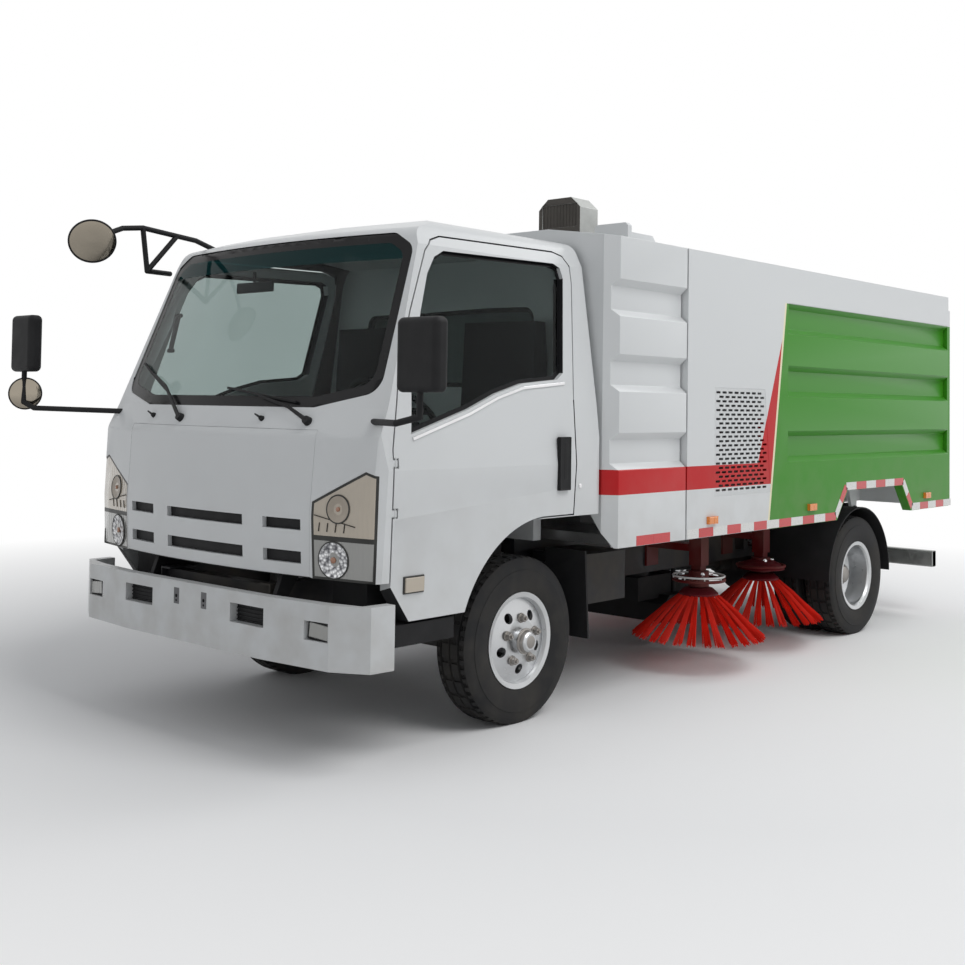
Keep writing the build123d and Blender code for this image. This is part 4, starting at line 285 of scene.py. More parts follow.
def body_layers(settings):
    """Colours over the body's white, each with the tests that bound it."""
    stripe = (("above", STRIPE_Z[0]), ("below", STRIPE_Z[1]), ("ahead", *SPIKE_REAR))
    spike = (("above", STRIPE_Z[0]), ("below", SPIKE_TOP), ("ahead", *SPIKE_REAR), ("behind", *SPIKE_FRONT))
    return ((settings.red, stripe), (settings.red, spike),
            (CREAM, (("below", GREEN_TOP), ("behind", *SPIKE_REAR))),
            (settings.green, (("below", GREEN_TOP), ("behind", *GREEN_FRONT))))


def body_paint(name, base, layers):
    """Gloss paint whose colours change at straight lines on the body's sides."""
    n = Nodes(name)
    x, y, z = n.axes()
    x = n.math("SUBTRACT", x, FRONT_AXLE)
    on_side = n.math("GREATER_THAN", n.math("ABSOLUTE", y), SIDE_FROM)
    color = rgba(base)
    for shade, tests in layers:
        mask = on_side
        for test in tests:
            mask = n.math("MULTIPLY", mask, line_test(n, x, z, *test))
        color = n.mix(mask, color, rgba(shade))
    return gloss(n, color, (0.75, 1.25), 0.22)


WHITE = (0.66, 0.675, 0.68)
GREEN = (0.042, 0.24, 0.012)
RED = (0.50, 0.012, 0.015)
#           share of the white, then the dirt or the number of coloured layers
PAINTS = {"paint_white": (1.0, 0.25), "panel_white": (0.985, 0.15), "bumper_white": (0.92, 0.4)}
BODY_PAINTS = {"module_paint": (1.0, 1), "hopper_paint": (1.0, 4), "vent_paint": (0.93, 2)}
#           colour, then what differs from the kind's usual values
PLAIN_FINISHES = (
    (chassis_paint, {
        "chassis": (),
        "axle": ((0.03, 0.03, 0.03), 0.8),
        "brush_frame": ((0.10, 0.006, 0.006), 0.35)}),
    (tyre_rubber, {"tyre": ()}),
    (facets, {"reflector": ()}),
    (plastic, {
        "black_plastic": ((0.018, 0.018, 0.019),),
        "interior": ((0.020, 0.020, 0.022), 0.65, 500.0),
        # dark brown-grey of the intake hood's front: painted shade
        "hood_front": ((0.085, 0.078, 0.070), 0.6, 400.0),
        # dark strips of the headlamps' slits and ledge line: painted shade
        "slit": ((0.05, 0.045, 0.04), 0.6),
        "frit": ((0.010, 0.010, 0.011), 0.22, 400.0, 0.0001),
        "void": ((0.004, 0.004, 0.004), 0.9),
        # near-black discs in the plate bracket's holes: painted shade
        "slot_grey": ((0.16, 0.16, 0.165), 0.6),
        "seat_cloth": ((0.026, 0.026, 0.030), 0.9, 700.0, 0.001),
        "bristle": ((0.62, 0.018, 0.008), 0.6, 300.0),
        "cup": ((0.11, 0.008, 0.012), 0.42, 200.0),
        "guard_white": ((0.70, 0.70, 0.69), 0.4, 200.0),
        "lamp_frame": ((0.055, 0.055, 0.052), 0.35),
        "turn_bowl": ((0.42, 0.37, 0.31), 0.25, 260.0, 0.0008)}),
    (metal, {
        "wheel": ((0.62, 0.63, 0.64), 0.34),
        "nut": ((0.36, 0.34, 0.32), 0.42, 200.0),
        "steel": ((0.45, 0.45, 0.45), 0.38),
        "galvanised": ((0.40, 0.41, 0.40), 0.50, 25.0),
        "chrome": ((0.85, 0.85, 0.86), 0.12),
        "mirror_glass": ((0.36, 0.32, 0.26), 0.08)}),
    (glass, {"windscreen_glass": ((0.50, 0.56, 0.55),), "shade_band": ((0.012, 0.060, 0.062), 0.55)}),
    (lens, {
        "headlamp": ((0.30, 0.30, 0.285),),
        "turn_lamp": ((0.47, 0.41, 0.33),),
        "bulb": ((0.34, 0.15, 0.08),),
        "amber": ((0.75, 0.21, 0.015),),
        "tail": ((0.50, 0.012, 0.012),)}),
    (tape_finish, {"tape_red": ((0.58, 0.015, 0.02),), "tape_white": ((0.72, 0.72, 0.70),)}),
)


def finish_table(settings):
    """Every finish by name, made once."""
    table = {name: kind(name, *values) for kind, rows in PLAIN_FINISHES for name, values in rows.items()}
    for name, (share, dirt) in PAINTS.items():
        table[name] = paint(name, rgba(settings.white, share), dirt)
    for name, (share, count) in BODY_PAINTS.items():
        table[name] = body_paint(name, rgba(settings.white, share), body_layers(settings)[:count])
    return table


def four(stem):
    """Names of the four nodes that share a stem."""
    return [f"{stem}_{end}_{hand}" for end in ("front", "rear") for hand in ("left", "right")]


NODE_FINISH = {
    "chassis": ("ladder_frame", "leaf_springs", "propshaft", "battery_box", "tip_brackets"),
    "axle": ("front_axle", "rear_axle", "knuckle_left", "knuckle_right", "track_rod"),
    "steel": ("engine", "aux_engine", "tip_rods"),
    "paint_white": ("cab_shell", "front_panel", "door_left", "door_right", "front_module", "roof_hood"),
    "hopper_paint": ("hopper", "rear_door"),
    "vent_paint": ("vent_grilles",),
    "amber": ("side_lamps",),
    "bumper_white": ("front_bumper",),
    "black_plastic": ("rear_mudguards", "front_mudguards", "grille", "mirrors", "wipers",
                      "suction_nozzle", "suction_duct"),
    "interior": ("dashboard", "steering_wheel"),
    "galvanised": ("underrun_bar", "fuel_tank"),
    "tail": ("tail_lamps",),
    "headlamp": ("headlamps",),
    "seat_cloth": ("seats",),
    "windscreen_glass": ("windscreen", "rear_window", "door_glass_left", "door_glass_right"),
    "tyre": ("tyre_front_left", "tyre_front_right", "tyres_rear_left", "tyres_rear_right"),
    "wheel": ("rim_front_left", "rim_front_right", "rims_rear_left", "rims_rear_right"),
    "brush_frame": ("brush_frames", "tip_barrels", *four("brush_head")),
    "bristle": four("brush"),
}
FINISHES = {}


# ---------------------------------------------------------------- making pieces
def rounded(obj, width, segments=2, angle=35.0):
    """Bevel modifier on an object's sharp edges."""
    bevel = obj.modifiers.new("rounding", "BEVEL")
    bevel.width = width
    bevel.segments = segments
    bevel.limit_method = "ANGLE"
    bevel.angle_limit = math.radians(angle)
    bevel.harden_normals = True


def piece(name, bm, finishes, body, replaces=(), bevel=0.0, sharp=35.0, outward=True):
    """Turns a bmesh into an object that rides on a body."""
    if outward:
        bmesh.ops.recalc_face_normals(bm, faces=bm.faces)
    mesh = bpy.data.meshes.new(name)
    bm.to_mesh(mesh)
    bm.free()
    obj = bpy.data.objects.new(name, mesh)
    bpy.context.scene.collection.objects.link(obj)
    for finish in (finishes if isinstance(finishes, (tuple, list)) else (finishes,)):
        mesh.materials.append(FINISHES[finish])
    mesh.shade_smooth()
    mesh.set_sharp_from_angle(angle=math.radians(sharp))
    if bevel:
        rounded(obj, bevel)
    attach(obj, body)
    if replaces:
        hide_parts(*replaces)
    return obj


MERGE = 2e-5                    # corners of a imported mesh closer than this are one


def node_copy(node, flat=1.5):
    """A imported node's mesh with its loose triangles merged and its flats dissolved."""
    bm = bmesh.new()
    bm.from_mesh(NODES[node].data)
    bmesh.ops.remove_doubles(bm, verts=bm.verts, dist=MERGE)
    bmesh.ops.dissolve_limit(bm, angle_limit=math.radians(flat), verts=bm.verts, edges=bm.edges)
    return bm


def dressed(node, finishes, bevel=0.0, sharp=32.0):
    """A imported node's own shape with softened edges and a finish."""
    return piece(node + "_dressed", node_copy(node), finishes, BODY_OF[node], (node,), bevel, sharp,
                 outward=False)


TREES = {}


def tree_of(node):
    """Search tree of a node's faces, made once."""
    if node not in TREES:
        mesh = NODES[node].data
        TREES[node] = BVHTree.FromPolygons([v.co for v in mesh.vertices], [p.vertices for p in mesh.polygons])
    return TREES[node]


def surface(node, place, direction):
    """Point and normal where a line from place along direction first meets a node."""
    point, normal, _, _ = tree_of(node).ray_cast(Vector(place), Vector(direction).normalized())
    if point is None:
        raise ValueError(f"no surface of {node} from {place}")
    return point, normal


def from_front(node, y, z):
    """Point and normal that a look along the truck from ahead meets."""
    return surface(node, (FRONT_AXLE + 3, y, z), (-1, 0, 0))


def from_side(node, side, x, z):
    """Point and normal that a look across the truck from one side meets."""
    return surface(node, (x, side * 2, z), (0, -side, 0))


def merge(bm, part):
    """Adds a mesh to another one and frees it."""
    mesh = bpy.data.meshes.new("part")
    part.to_mesh(mesh)
    part.free()
    bm.from_mesh(mesh)
    bpy.data.meshes.remove(mesh)


def cut(bm, place, normal, near=0.0):
    """Cuts a whole mesh along a plane."""
    bmesh.ops.bisect_plane(bm, geom=bm.verts[:] + bm.edges[:] + bm.faces[:], plane_co=place, plane_no=normal,
                           dist=near)


def span(side, a, b):
    """Limits in Y of something that lies from a to b off the middle, on one side."""
    return sorted((side * a, side * b))


def about(centre, half):
    """Limits at half a width either side of a centre."""
    return (centre - half, centre + half)


def add_box(bm, x, y, z, turn=None):
    """Box between limits, turned about its own middle."""
    size = (x[1] - x[0], y[1] - y[0], z[1] - z[0])
    centre = Vector((sum(x) / 2, sum(y) / 2, sum(z) / 2))
    place = Matrix.Translation(centre) @ (turn.to_4x4() if turn else Matrix.Identity(4))
    bmesh.ops.create_cube(bm, size=1.0, matrix=place @ Matrix.Diagonal((*size, 1)))


def toward(axis):
    """Rotation that lays local Z along axis."""
    return Vector((0, 0, 1)).rotation_difference(Vector(axis)).to_matrix()


def lean(normal, square):
    """Rotation that takes the direction square to normal."""
    return toward(normal) @ toward(square).inverted()


def add_drum(bm, place, axis, radius, depth, segments=32, top=None):
    """Drum or cone centred at place, its length along axis."""
    matrix = Matrix.Translation(place) @ toward(axis).to_4x4()
    bmesh.ops.create_cone(bm, cap_ends=True, segments=segments, radius1=radius,
                          radius2=radius if top is None else top, depth=depth, matrix=matrix)


def lathe(bm, profile, centre, axis, segments=64, closed=False):
    """Shape turned from (radius, height) points about an axis through centre."""
    turn = toward(axis)
    verts = [bm.verts.new(Vector(centre) + turn @ Vector((r, 0, h))) for r, h in profile]
    pairs = list(zip(verts, verts[1:])) + ([(verts[-1], verts[0])] if closed else [])
    edges = [bm.edges.new(pair) for pair in pairs]
    bmesh.ops.spin(bm, geom=verts + edges, cent=centre, axis=turn @ Vector((0, 0, 1)),
                   angle=2 * math.pi, steps=segments, use_merge=True)
    bmesh.ops.remove_doubles(bm, verts=bm.verts, dist=1e-6)


def add_ring(bm, centre, axis, radius, tube, segments=56):
    """Ring of round tube."""
    circle = [(radius + tube * math.cos(a), tube * math.sin(a)) for a in (k * math.pi / 5 for k in range(10))]
    lathe(bm, circle, centre, axis, segments, closed=True)


def faces_towards(bm, direction, least=0.35):
    """Faces whose normal leans towards a direction."""
    direction = Vector(direction)
    return [f for f in bm.faces if f.normal.dot(direction) > least]


# ---------------------------------------------------------------- operators
def color_property(name, description, default):
    return FloatVectorProperty(name=name, description=description, subtype="COLOR", size=3, min=0.0, max=1.0,
                               default=default)


class SweeperSettings(bpy.types.PropertyGroup):
    """Colours and sizes that a user may change"""
    white: color_property("White", "Cab and body paint", WHITE)
    green: color_property("Green", "Rear part of the hopper's sides", GREEN)
    red: color_property("Red", "Stripe along the body", RED)
    bristles: IntProperty(name="Bristles", description="Bristles in each tuft of a brush",
                          default=60, min=8, max=120)
    tread_pitches: IntProperty(name="Tread pitches", description="Segments of tread round a tyre",
                               default=112, min=48, max=200)


class SWEEPER_OT_finishes(bpy.types.Operator):
    """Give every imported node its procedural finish"""
    bl_idname = "sweeper.finishes"
    bl_label = "Finishes on the packed nodes"

    def execute(self, context):
        FINISHES.update(finish_table(context.scene.sweeper))
        for finish, names in NODE_FINISH.items():
            for name in names:
                mesh = NODES[name].data
                mesh.materials.clear()
                mesh.materials.append(FINISHES[finish])
        return {"FINISHED"}


#               node              finish            edge rounding
BODYWORK = (("front_panel", "panel_white", 0.003),
            ("front_bumper", "bumper_white", 0.018),
            ("front_module", "module_paint", 0.006),
            ("hopper", "hopper_paint", 0.006),
            ("rear_door", "hopper_paint", 0.006),
            ("vent_grilles", "vent_paint", 0.0),
            ("underrun_bar", "galvanised", 0.003),
            ("fuel_tank", "galvanised", 0.0),
            ("rear_mudguards", "black_plastic", 0.003),
            ("front_mudguards", "black_plastic", 0.003),
            ("dashboard", "interior", 0.012))


SHADED_UNDERSIDE_Z = 0.7575            # below this the cab's shell and the doors' lower edges are black, as painted shade under the cab
DOOR_HANDLE_X = (-0.146, -0.064)        # from the front axle
DOOR_HANDLE_Z = (1.079, 1.326)
INSIDE, BLACK = 1, 2            # slots after the paint


def trimmed(node):
    """Cab or door in paint outside and in dark trim wherever a face looks into the cab, with black below the
    bumper line as painted shade.
    """
    bm = node_copy(node)
    door = node != "cab_shell"
    for face in bm.faces:
        place, normal = face.calc_center_median(), face.normal
        hit = tree_of("cab_shell").ray_cast(place + normal * 0.004, normal, 2.4)[0]
        deep = abs(place.y) < 0.965 or abs(normal.y) < 0.5 or normal.y * place.y < 0
        if hit is not None and deep and (hit - place).length > 0.06:
            face.material_index = INSIDE
        x, z = place.x - FRONT_AXLE, place.z
        # painted shade: the cab's lowest faces and the doors' downward faces turn black
        if z < SHADED_UNDERSIDE_Z and (not door or normal.z < -0.35):
            face.material_index = BLACK
        on_handle = DOOR_HANDLE_X[0] < x < DOOR_HANDLE_X[1] and DOOR_HANDLE_Z[0] < z < DOOR_HANDLE_Z[1]
        if door and on_handle and abs(place.y) > 0.985:
            face.material_index = BLACK
    piece(node + "_dressed", bm, ("paint_white", "interior", "black_plastic"), BODY_OF[node], (node,), 0.003,
          32.0, outward=False)


class SWEEPER_OT_bodywork(bpy.types.Operator):
    """Panels, bumper, module and hopper with softened edges"""
    bl_idname = "sweeper.bodywork"
    bl_label = "Bodywork"

    def execute(self, context):
        for node, finish, bevel in BODYWORK:
            dressed(node, finish, bevel)
        for node in ("cab_shell", "door_left", "door_right"):
            trimmed(node)
        return {"FINISHED"}


#             to the side, height, anticlockwise from the lower left
SCREEN = ((0.600, 1.448), (0.912, 1.516), (0.852, 2.140), (0.740, 2.205))
REAR_WINDOW = ((0.620, 1.560), (0.600, 1.960))
TINT_BOTTOM = 2.085             # lower edge of the windscreen's shade band
CLEAR, DARK, SHADED = range(3)
#       ahead of the front axle, height: top edge of the door's window sill
SILL = ((-0.155, 1.583), (0.147, 1.556), (0.330, 1.508), (0.520, 1.438), (0.872, 1.335))


def inner_outline(points, border, radius, steps=5):
    """Outline moved in by border, with rounded corners; points run anticlockwise."""
    points = [Vector(point) for point in points]
    count = len(points)
    runs = [(points[(k + 1) % count] - points[k]).normalized() for k in range(count)]
    inward = [Vector((-run.y, run.x)) for run in runs]
    outline = []
    for k in range(count):
        before = k - 1
        a, b = points[before] + inward[before] * border, points[k] + inward[k] * border
        corner = a + runs[before] * ((b - a).cross(runs[k]) / runs[before].cross(runs[k]))
        turn = math.acos(max(-1.0, min(1.0, runs[before].dot(runs[k]))))
        start = corner - runs[before] * radius * math.tan(turn / 2)
        centre = start + inward[before] * radius
        outline += [centre + Matrix.Rotation(turn * step / steps, 2) @ (start - centre)
                    for step in range(steps + 1)]
    return outline


def cut_along(bm, outline):
    """Cuts a mesh along an outline of (side, height) points and tells which faces lie inside it."""
    walls = []
    for a, b in zip(outline, outline[1:] + outline[:1]):
        run = b - a
        if run.length > 1e-5:
            walls.append((Vector((0, a.x, a.y)), Vector((0, run.y, -run.x)).normalized()))
            cut(bm, *walls[-1], near=1e-6)
    return [f for f in bm.faces
            if all((f.calc_center_median() - place).dot(normal) < 1e-5 for place, normal in walls)]


def both_sides(points):
    """Outline of a half with its mirror image."""
    return [*points, *[(-y, z) for y, z in points[::-1]]]


def screen(node, half, border, radius, band=False):
    """A window across the cab with its dark printed border and, on the windscreen, a shade band."""
    bm = node_copy(node, 0.2)
    inside = cut_along(bm, inner_outline(both_sides(half), border, radius))
    for face in bm.faces:
        face.material_index = DARK
    for face in inside:
        if abs(face.normal.x) > 0.3:
            face.material_index = CLEAR
    if band:
        cut(bm, (0, 0, TINT_BOTTOM), (0, 0, 1))
        for face in bm.faces:
            if face.material_index == CLEAR and face.calc_center_median().z > TINT_BOTTOM:
                face.material_index = SHADED
    piece(node + "_pane", bm, ("windscreen_glass", "frit", "shade_band"), BODY_OF[node], (node,), sharp=50,
          outward=False)


def door_pane(node, side, border):
    """A door's glass with its dark edge."""
    bm = node_copy(node, 0.5)
    out = Vector((0, side, 0))
    for way in (out, -out):
        rim = bmesh.ops.inset_region(bm, faces=faces_towards(bm, way), thickness=border, use_even_offset=True,
                                     use_boundary=True)
        for face in rim["faces"]:
            face.material_index = DARK
    for face in bm.faces:
        if abs(face.normal.dot(out)) < 0.35:
            face.material_index = DARK
    piece(node + "_pane", bm, ("windscreen_glass", "frit"), BODY_OF[node], (node,), sharp=50, outward=False)


def sill_strip(hand, side):
    """Bright strip along the bottom of a door's window."""
    bm = bmesh.new()
    lift = Vector((0, side * 0.003, 0.004))
    places = [from_side("door_" + hand, side, ax(x), z - 0.012)[0] + lift for x, z in SILL]
    for start, end in zip(places, places[1:]):
        run, centre = end - start, (start + end) / 2
        add_box(bm, about(centre.x, run.length / 2 + 0.002), about(centre.y, 0.0035), about(centre.z, 0.007),
                Vector((1, 0, 0)).rotation_difference(run).to_matrix())
    piece("sill_strip_" + hand, bm, "chrome", "door_" + hand, bevel=0.002)


class SWEEPER_OT_glazing(bpy.types.Operator):
    """Windscreen with its dark border and shade band, rear window, and side windows with their strips"""
    bl_idname = "sweeper.glazing"
    bl_label = "Glass"

    def execute(self, context):
        screen("windscreen", SCREEN, 0.046, 0.060, band=True)
        screen("rear_window", REAR_WINDOW, 0.022, 0.050)
        for hand, side in SIDES:
            door_pane("door_glass_" + hand, side, 0.018)
            sill_strip(hand, side)
        return {"FINISHED"}


TREAD_GROOVES = (-0.052, 0.0, 0.052)


def tyre_profile(outer, inner, half):
    """Cross-section of a tyre from bead to bead, as (radius, offset) points."""
    wall = [(inner, 0.66), (inner + 0.010, 0.80), (inner + 0.034, 0.93), (outer - 0.088, 1),
            (outer - 0.062, 0.995), (outer - 0.060, 0.965), (outer - 0.034, 0.93), (outer - 0.017, 0.90),
            (outer - 0.006, 0.82)]
    wall = [(r, half * share) for r, share in wall]
    tread = [(outer - 0.0015, half * 0.70)]
    for groove in TREAD_GROOVES[::-1]:
        for offset, depth in ((0.0065, 0.0), (0.0035, 0.010), (-0.0035, 0.010), (-0.0065, 0.0)):
            y = groove + offset
            tread.append((outer - 0.0012 * abs(y) / half - depth, y))
    tread.append((outer - 0.0015, -half * 0.70))
    return [*wall, *tread, *[(r, -y) for r, y in wall[::-1]]]


def tyre(bm, centre, outer, inner, half, pitches):
    """Tyre with ribs, and cross grooves sunk into its shoulders."""
    part = bmesh.new()
    lathe(part, tyre_profile(outer, inner, half), centre, (0, 1, 0), pitches, closed=True)
    blocks = []
    for face in part.faces:
        place = face.calc_center_median() - Vector(centre)
        radius, offset = math.hypot(place.x, place.z), abs(place.y)
        pitch = math.floor(math.atan2(place.z, place.x) / (2 * math.pi) * pitches)
        shoulder = half * 0.58 < offset < half * 0.86 and radius > outer - 0.007
        rib = 0.008 < offset < half * 0.45 and radius > outer - 0.004
        if (shoulder and pitch % 2 == 0) or (rib and pitch % 4 == 1):
            blocks.append(face)
    bmesh.ops.inset_individual(part, faces=blocks, thickness=0.0016, depth=-0.007)
    merge(bm, part)


TYRE_WIDTH = 0.200
TYRE_SLACK = 0.0005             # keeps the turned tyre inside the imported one
NUT_COUNT = 5
NUT_CIRCLE = 0.104              # radius
#            off the rim, radius, depth, sides, radius at the top: washer, nut and stud
NUT_PARTS = ((0.004, 0.024, 0.008, 24, 0.022), (0.017, 0.0185, 0.022, 6, 0.0165),
             (0.032, 0.009, 0.012, 12, 0.0075))
#          radius as a share of the cap's, height
HUB_CAP = ((0, 0.040), (0.35, 0.039), (0.62, 0.034), (0.78, 0.024), (0.86, 0.008), (1, 0.006), (1, 0), (0, 0))


def tyres(node, body, count, pitches):
    """One tyre, or twins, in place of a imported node."""
    low, high = corners(node)
    centre = (low + high) / 2
    outer = (high.z - low.z) / 2 - TYRE_SLACK
    inner = min(math.hypot(v.co.x - centre.x, v.co.z - centre.z) for v in NODES[node].data.vertices)
    reach = (high.y - low.y) / 2 - TYRE_WIDTH / 2
    bm = bmesh.new()
    for shift in ((0.0,) if count == 1 else (-reach, reach)):
        tyre(bm, centre + Vector((0, shift, 0)), outer, inner, TYRE_WIDTH / 2 - TYRE_SLACK, pitches)
    piece(node + "_tread", bm, "tyre", body, (node,), sharp=28)


def wheel_nuts(node, body, side, axle_x, cap_radius):
    """Nuts on their studs round a turned hub cap."""
    bm = bmesh.new()
    out = Vector((0, side, 0))
    for k in range(NUT_COUNT):
        place = polar((axle_x, AXLE_Z), NUT_CIRCLE, math.radians(90 + 360 * k / NUT_COUNT), 0)
        seat, _ = from_side(node, side, place.x, place.y)
        for stand, *sizes in NUT_PARTS:
            add_drum(bm, seat + out * stand, out, *sizes)
    seat, _ = from_side(node, side, axle_x + cap_radius * 0.8, AXLE_Z)
    base = Vector((axle_x, seat.y, AXLE_Z)) - out * 0.002
    lathe(bm, [(cap_radius * r, h) for r, h in HUB_CAP], base, out, 40)
    piece(body + "_nuts", bm, "nut", body, bevel=0.0012, sharp=30)


class SWEEPER_OT_wheels(bpy.types.Operator):
    """Tyres with tread, wheel nuts and hub caps"""
    bl_idname = "sweeper.wheels"
    bl_label = "Wheels"

    def execute(self, context):
        pitches = context.scene.sweeper.tread_pitches
        for hand, side in SIDES:
            tyres("tyre_front_" + hand, "wheel_front_" + hand, 1, pitches)
            tyres("tyres_rear_" + hand, "wheels_rear_" + hand, 2, pitches)
            wheel_nuts("rim_front_" + hand, "wheel_front_" + hand, side, FRONT_AXLE, 0.060)
            wheel_nuts("rims_rear_" + hand, "wheels_rear_" + hand, side, REAR_AXLE, 0.070)
        return {"FINISHED"}


BRUSH_TUFTS = 28
TUFT_KINDS = 4                  # tufts with their own bristles; the others repeat them round the hub
BRUSH_TIP = 0.386               # radius of the bristles' ends
UP = Vector((0, 0, 1))
GUARD_RADIUS = 0.146
GUARD_Z = (0.487, 0.512)        # lower and upper ring of a front brush's guard
GUARD_PINS = 8
#            radius, height: section of the cup that holds the bristles, from the brush's top
CUP = ((0.024, -0.001), (0.074, -0.001), (0.082, -0.004), (0.111, -0.030), (0.111, -0.043), (0.100, -0.043),
       (0.024, -0.040))
#            radius, height: section of the dome over a rear brush
DOME = ((0.048, 0.526), (0.070, 0.524), (0.110, 0.508), (0.140, 0.484), (0.147, 0.470), (0.143, 0.470),
        (0.136, 0.481), (0.107, 0.503), (0.068, 0.518), (0.048, 0.520))


def polar(centre, radius, angle, z):
    """Point at a radius and an angle from a centre, in its plane, at the height z."""
    return Vector((centre[0] + radius * math.cos(angle), centre[1] + radius * math.sin(angle), z))


def brush(key, centre, bristles):
    """Bent, tapered bristles in tufts under their cup."""
    low, high = corners("brush_" + key)
    rng = random.Random(len(key) + int(centre.x * 100))
    bm = bmesh.new()
    bottom, top = low.z + 0.002, high.z
    for kind in range(TUFT_KINDS):
        part = bmesh.new()
        base = 2 * math.pi * kind / BRUSH_TUFTS + rng.uniform(-0.02, 0.02)
        for _ in range(bristles):
            across, deep = rng.uniform(-1, 1), rng.uniform(-1, 1)
            reach = BRUSH_TIP - 0.022 + 0.016 * deep - rng.uniform(0, 0.012)
            root = polar(centre, 0.090 + 0.008 * deep, base + 0.06 * across, top - 0.026 - 0.006 * deep)
            bend = polar(centre, 0.210 + 0.010 * deep, base + 0.055 * across, top - 0.125 - 0.012 * deep)
            tip = polar(centre, reach, base + 0.068 * across,
                        bottom + rng.uniform(0, 0.016) + 0.010 * (1 - deep))
            for start, end, wide, narrow in ((root, bend, 0.0034, 0.0032), (bend, tip, 0.0032, 0.0018)):
                add_drum(part, (start + end) / 2, end - start, wide, (end - start).length, 3, narrow)
        copies = BRUSH_TUFTS // TUFT_KINDS
        bmesh.ops.spin(part, geom=part.verts[:] + part.edges[:] + part.faces[:], cent=(centre.x, centre.y, 0),
                       axis=UP, angle=2 * math.pi * (copies - 1) / copies, steps=copies - 1,
                       use_duplicate=True)
        merge(bm, part)
    count = len(bm.faces)
    lathe(bm, [(r, top + h) for r, h in CUP], (centre.x, centre.y, 0), UP, 48, closed=True)
    bm.faces.ensure_lookup_table()
    for face in bm.faces[count:]:
        face.material_index = 1
    piece("bristles_" + key, bm, ("bristle", "cup"), "brush_" + key, ("brush_" + key,), sharp=30)


def head_trim(key, centre, end):
    """Guard or dome over a brush, and the fittings of its motor."""
    body = "head_" + key
    hub = Vector((centre.x, centre.y, 0))
    bm = bmesh.new()
    if end == "front":
        for z in GUARD_Z:
            add_ring(bm, hub + UP * z, UP, GUARD_RADIUS, 0.0055)
        for k in range(GUARD_PINS):
            place = polar(hub, GUARD_RADIUS, 2 * math.pi * k / GUARD_PINS, sum(GUARD_Z) / 2)
            add_drum(bm, place, UP, 0.004, 0.026, 8)
        piece("guard_" + key, bm, "guard_white", body, sharp=40)
    else:
        lathe(bm, DOME, hub, UP, 56, closed=True)
        piece("dome_" + key, bm, "cup", body, sharp=40)
    bm = bmesh.new()
    for angle in (0.9, 2.3):
        way = polar((0, 0), 1.0, angle, 0)
        place = polar(hub, 0.044, angle, 0.525)
        add_drum(bm, place + way * 0.010, way, 0.011, 0.024, 6)
        add_drum(bm, place + way * 0.028, way, 0.008, 0.016, 14)
    piece("fittings_" + key, bm, "chrome", body, bevel=0.001)


class SWEEPER_OT_brushes(bpy.types.Operator):
    """Side brushes of many tapered bristles under their cups, and the white guard rings"""
    bl_idname = "sweeper.brushes"
    bl_label = "Side brushes"

    def execute(self, context):
        for end in ("front", "rear"):
            for hand, _ in SIDES:
                key = f"{end}_{hand}"
                centre = middle("brush_" + key)
                brush(key, centre, context.scene.sweeper.bristles)
                head_trim(key, centre, end)
        return {"FINISHED"}


LAMP_DIVIDER = (0.912, 0.932)   # heights
#             to the side, height, radius, finish, sides
LAMP_BOWLS = ((0.782, 0.836, 0.074, "reflector", 22), (0.806, 1.042, 0.056, "turn_bowl", 48))
#             radius as a share of the bowl's, height
BOWL = ((1, 0.0), (1, 0.0055), (0.97, 0.0060), (0.94, 0.0050), (0.70, 0.0030), (0.40, 0.0020), (0.18, 0.0018),
        (0, 0.0018))
BULB = ((0.17, 0.001), (0.17, 0.0065), (0.10, 0.0085), (0, 0.009))
LEDGE = (0.79, 0.994, 0.105)    # to the side, height, half the length
SLITS = (0.712, 0.042, 4)       # to the side, pitch, number
FOG_LAMP = (0.808, 0.566)       # to the side, height
BUMPER_MOUTH = (0.395, 0.585)
PLATE_SIDE = 0.100              # the plate bracket's slots, to the side
AHEAD = Vector((1, 0, 0))


def headlamps():
    """Both lamps with a dark frame, a divider and clear fronts."""
    bm = node_copy("headlamps", 0.5)
    rim = bmesh.ops.inset_region(bm, faces=faces_towards(bm, AHEAD, 0.45), thickness=0.010, depth=-0.002,
                                 use_even_offset=True)
    for face in bm.faces:
        face.material_index = 1
    for face in set(faces_towards(bm, AHEAD, 0.45)) - set(rim["faces"]):
        face.material_index = 0
    for z in LAMP_DIVIDER:
        cut(bm, (0, 0, z), UP)
    for face in bm.faces:
        z = face.calc_center_median().z
        if face.material_index == 0 and z > LAMP_DIVIDER[0]:
            face.material_index = 1 if z < LAMP_DIVIDER[1] else 2
    piece("headlamps_dressed", bm, ("headlamp", "lamp_frame", "turn_lamp"), "cab", ("headlamps",), sharp=40,
          outward=False)


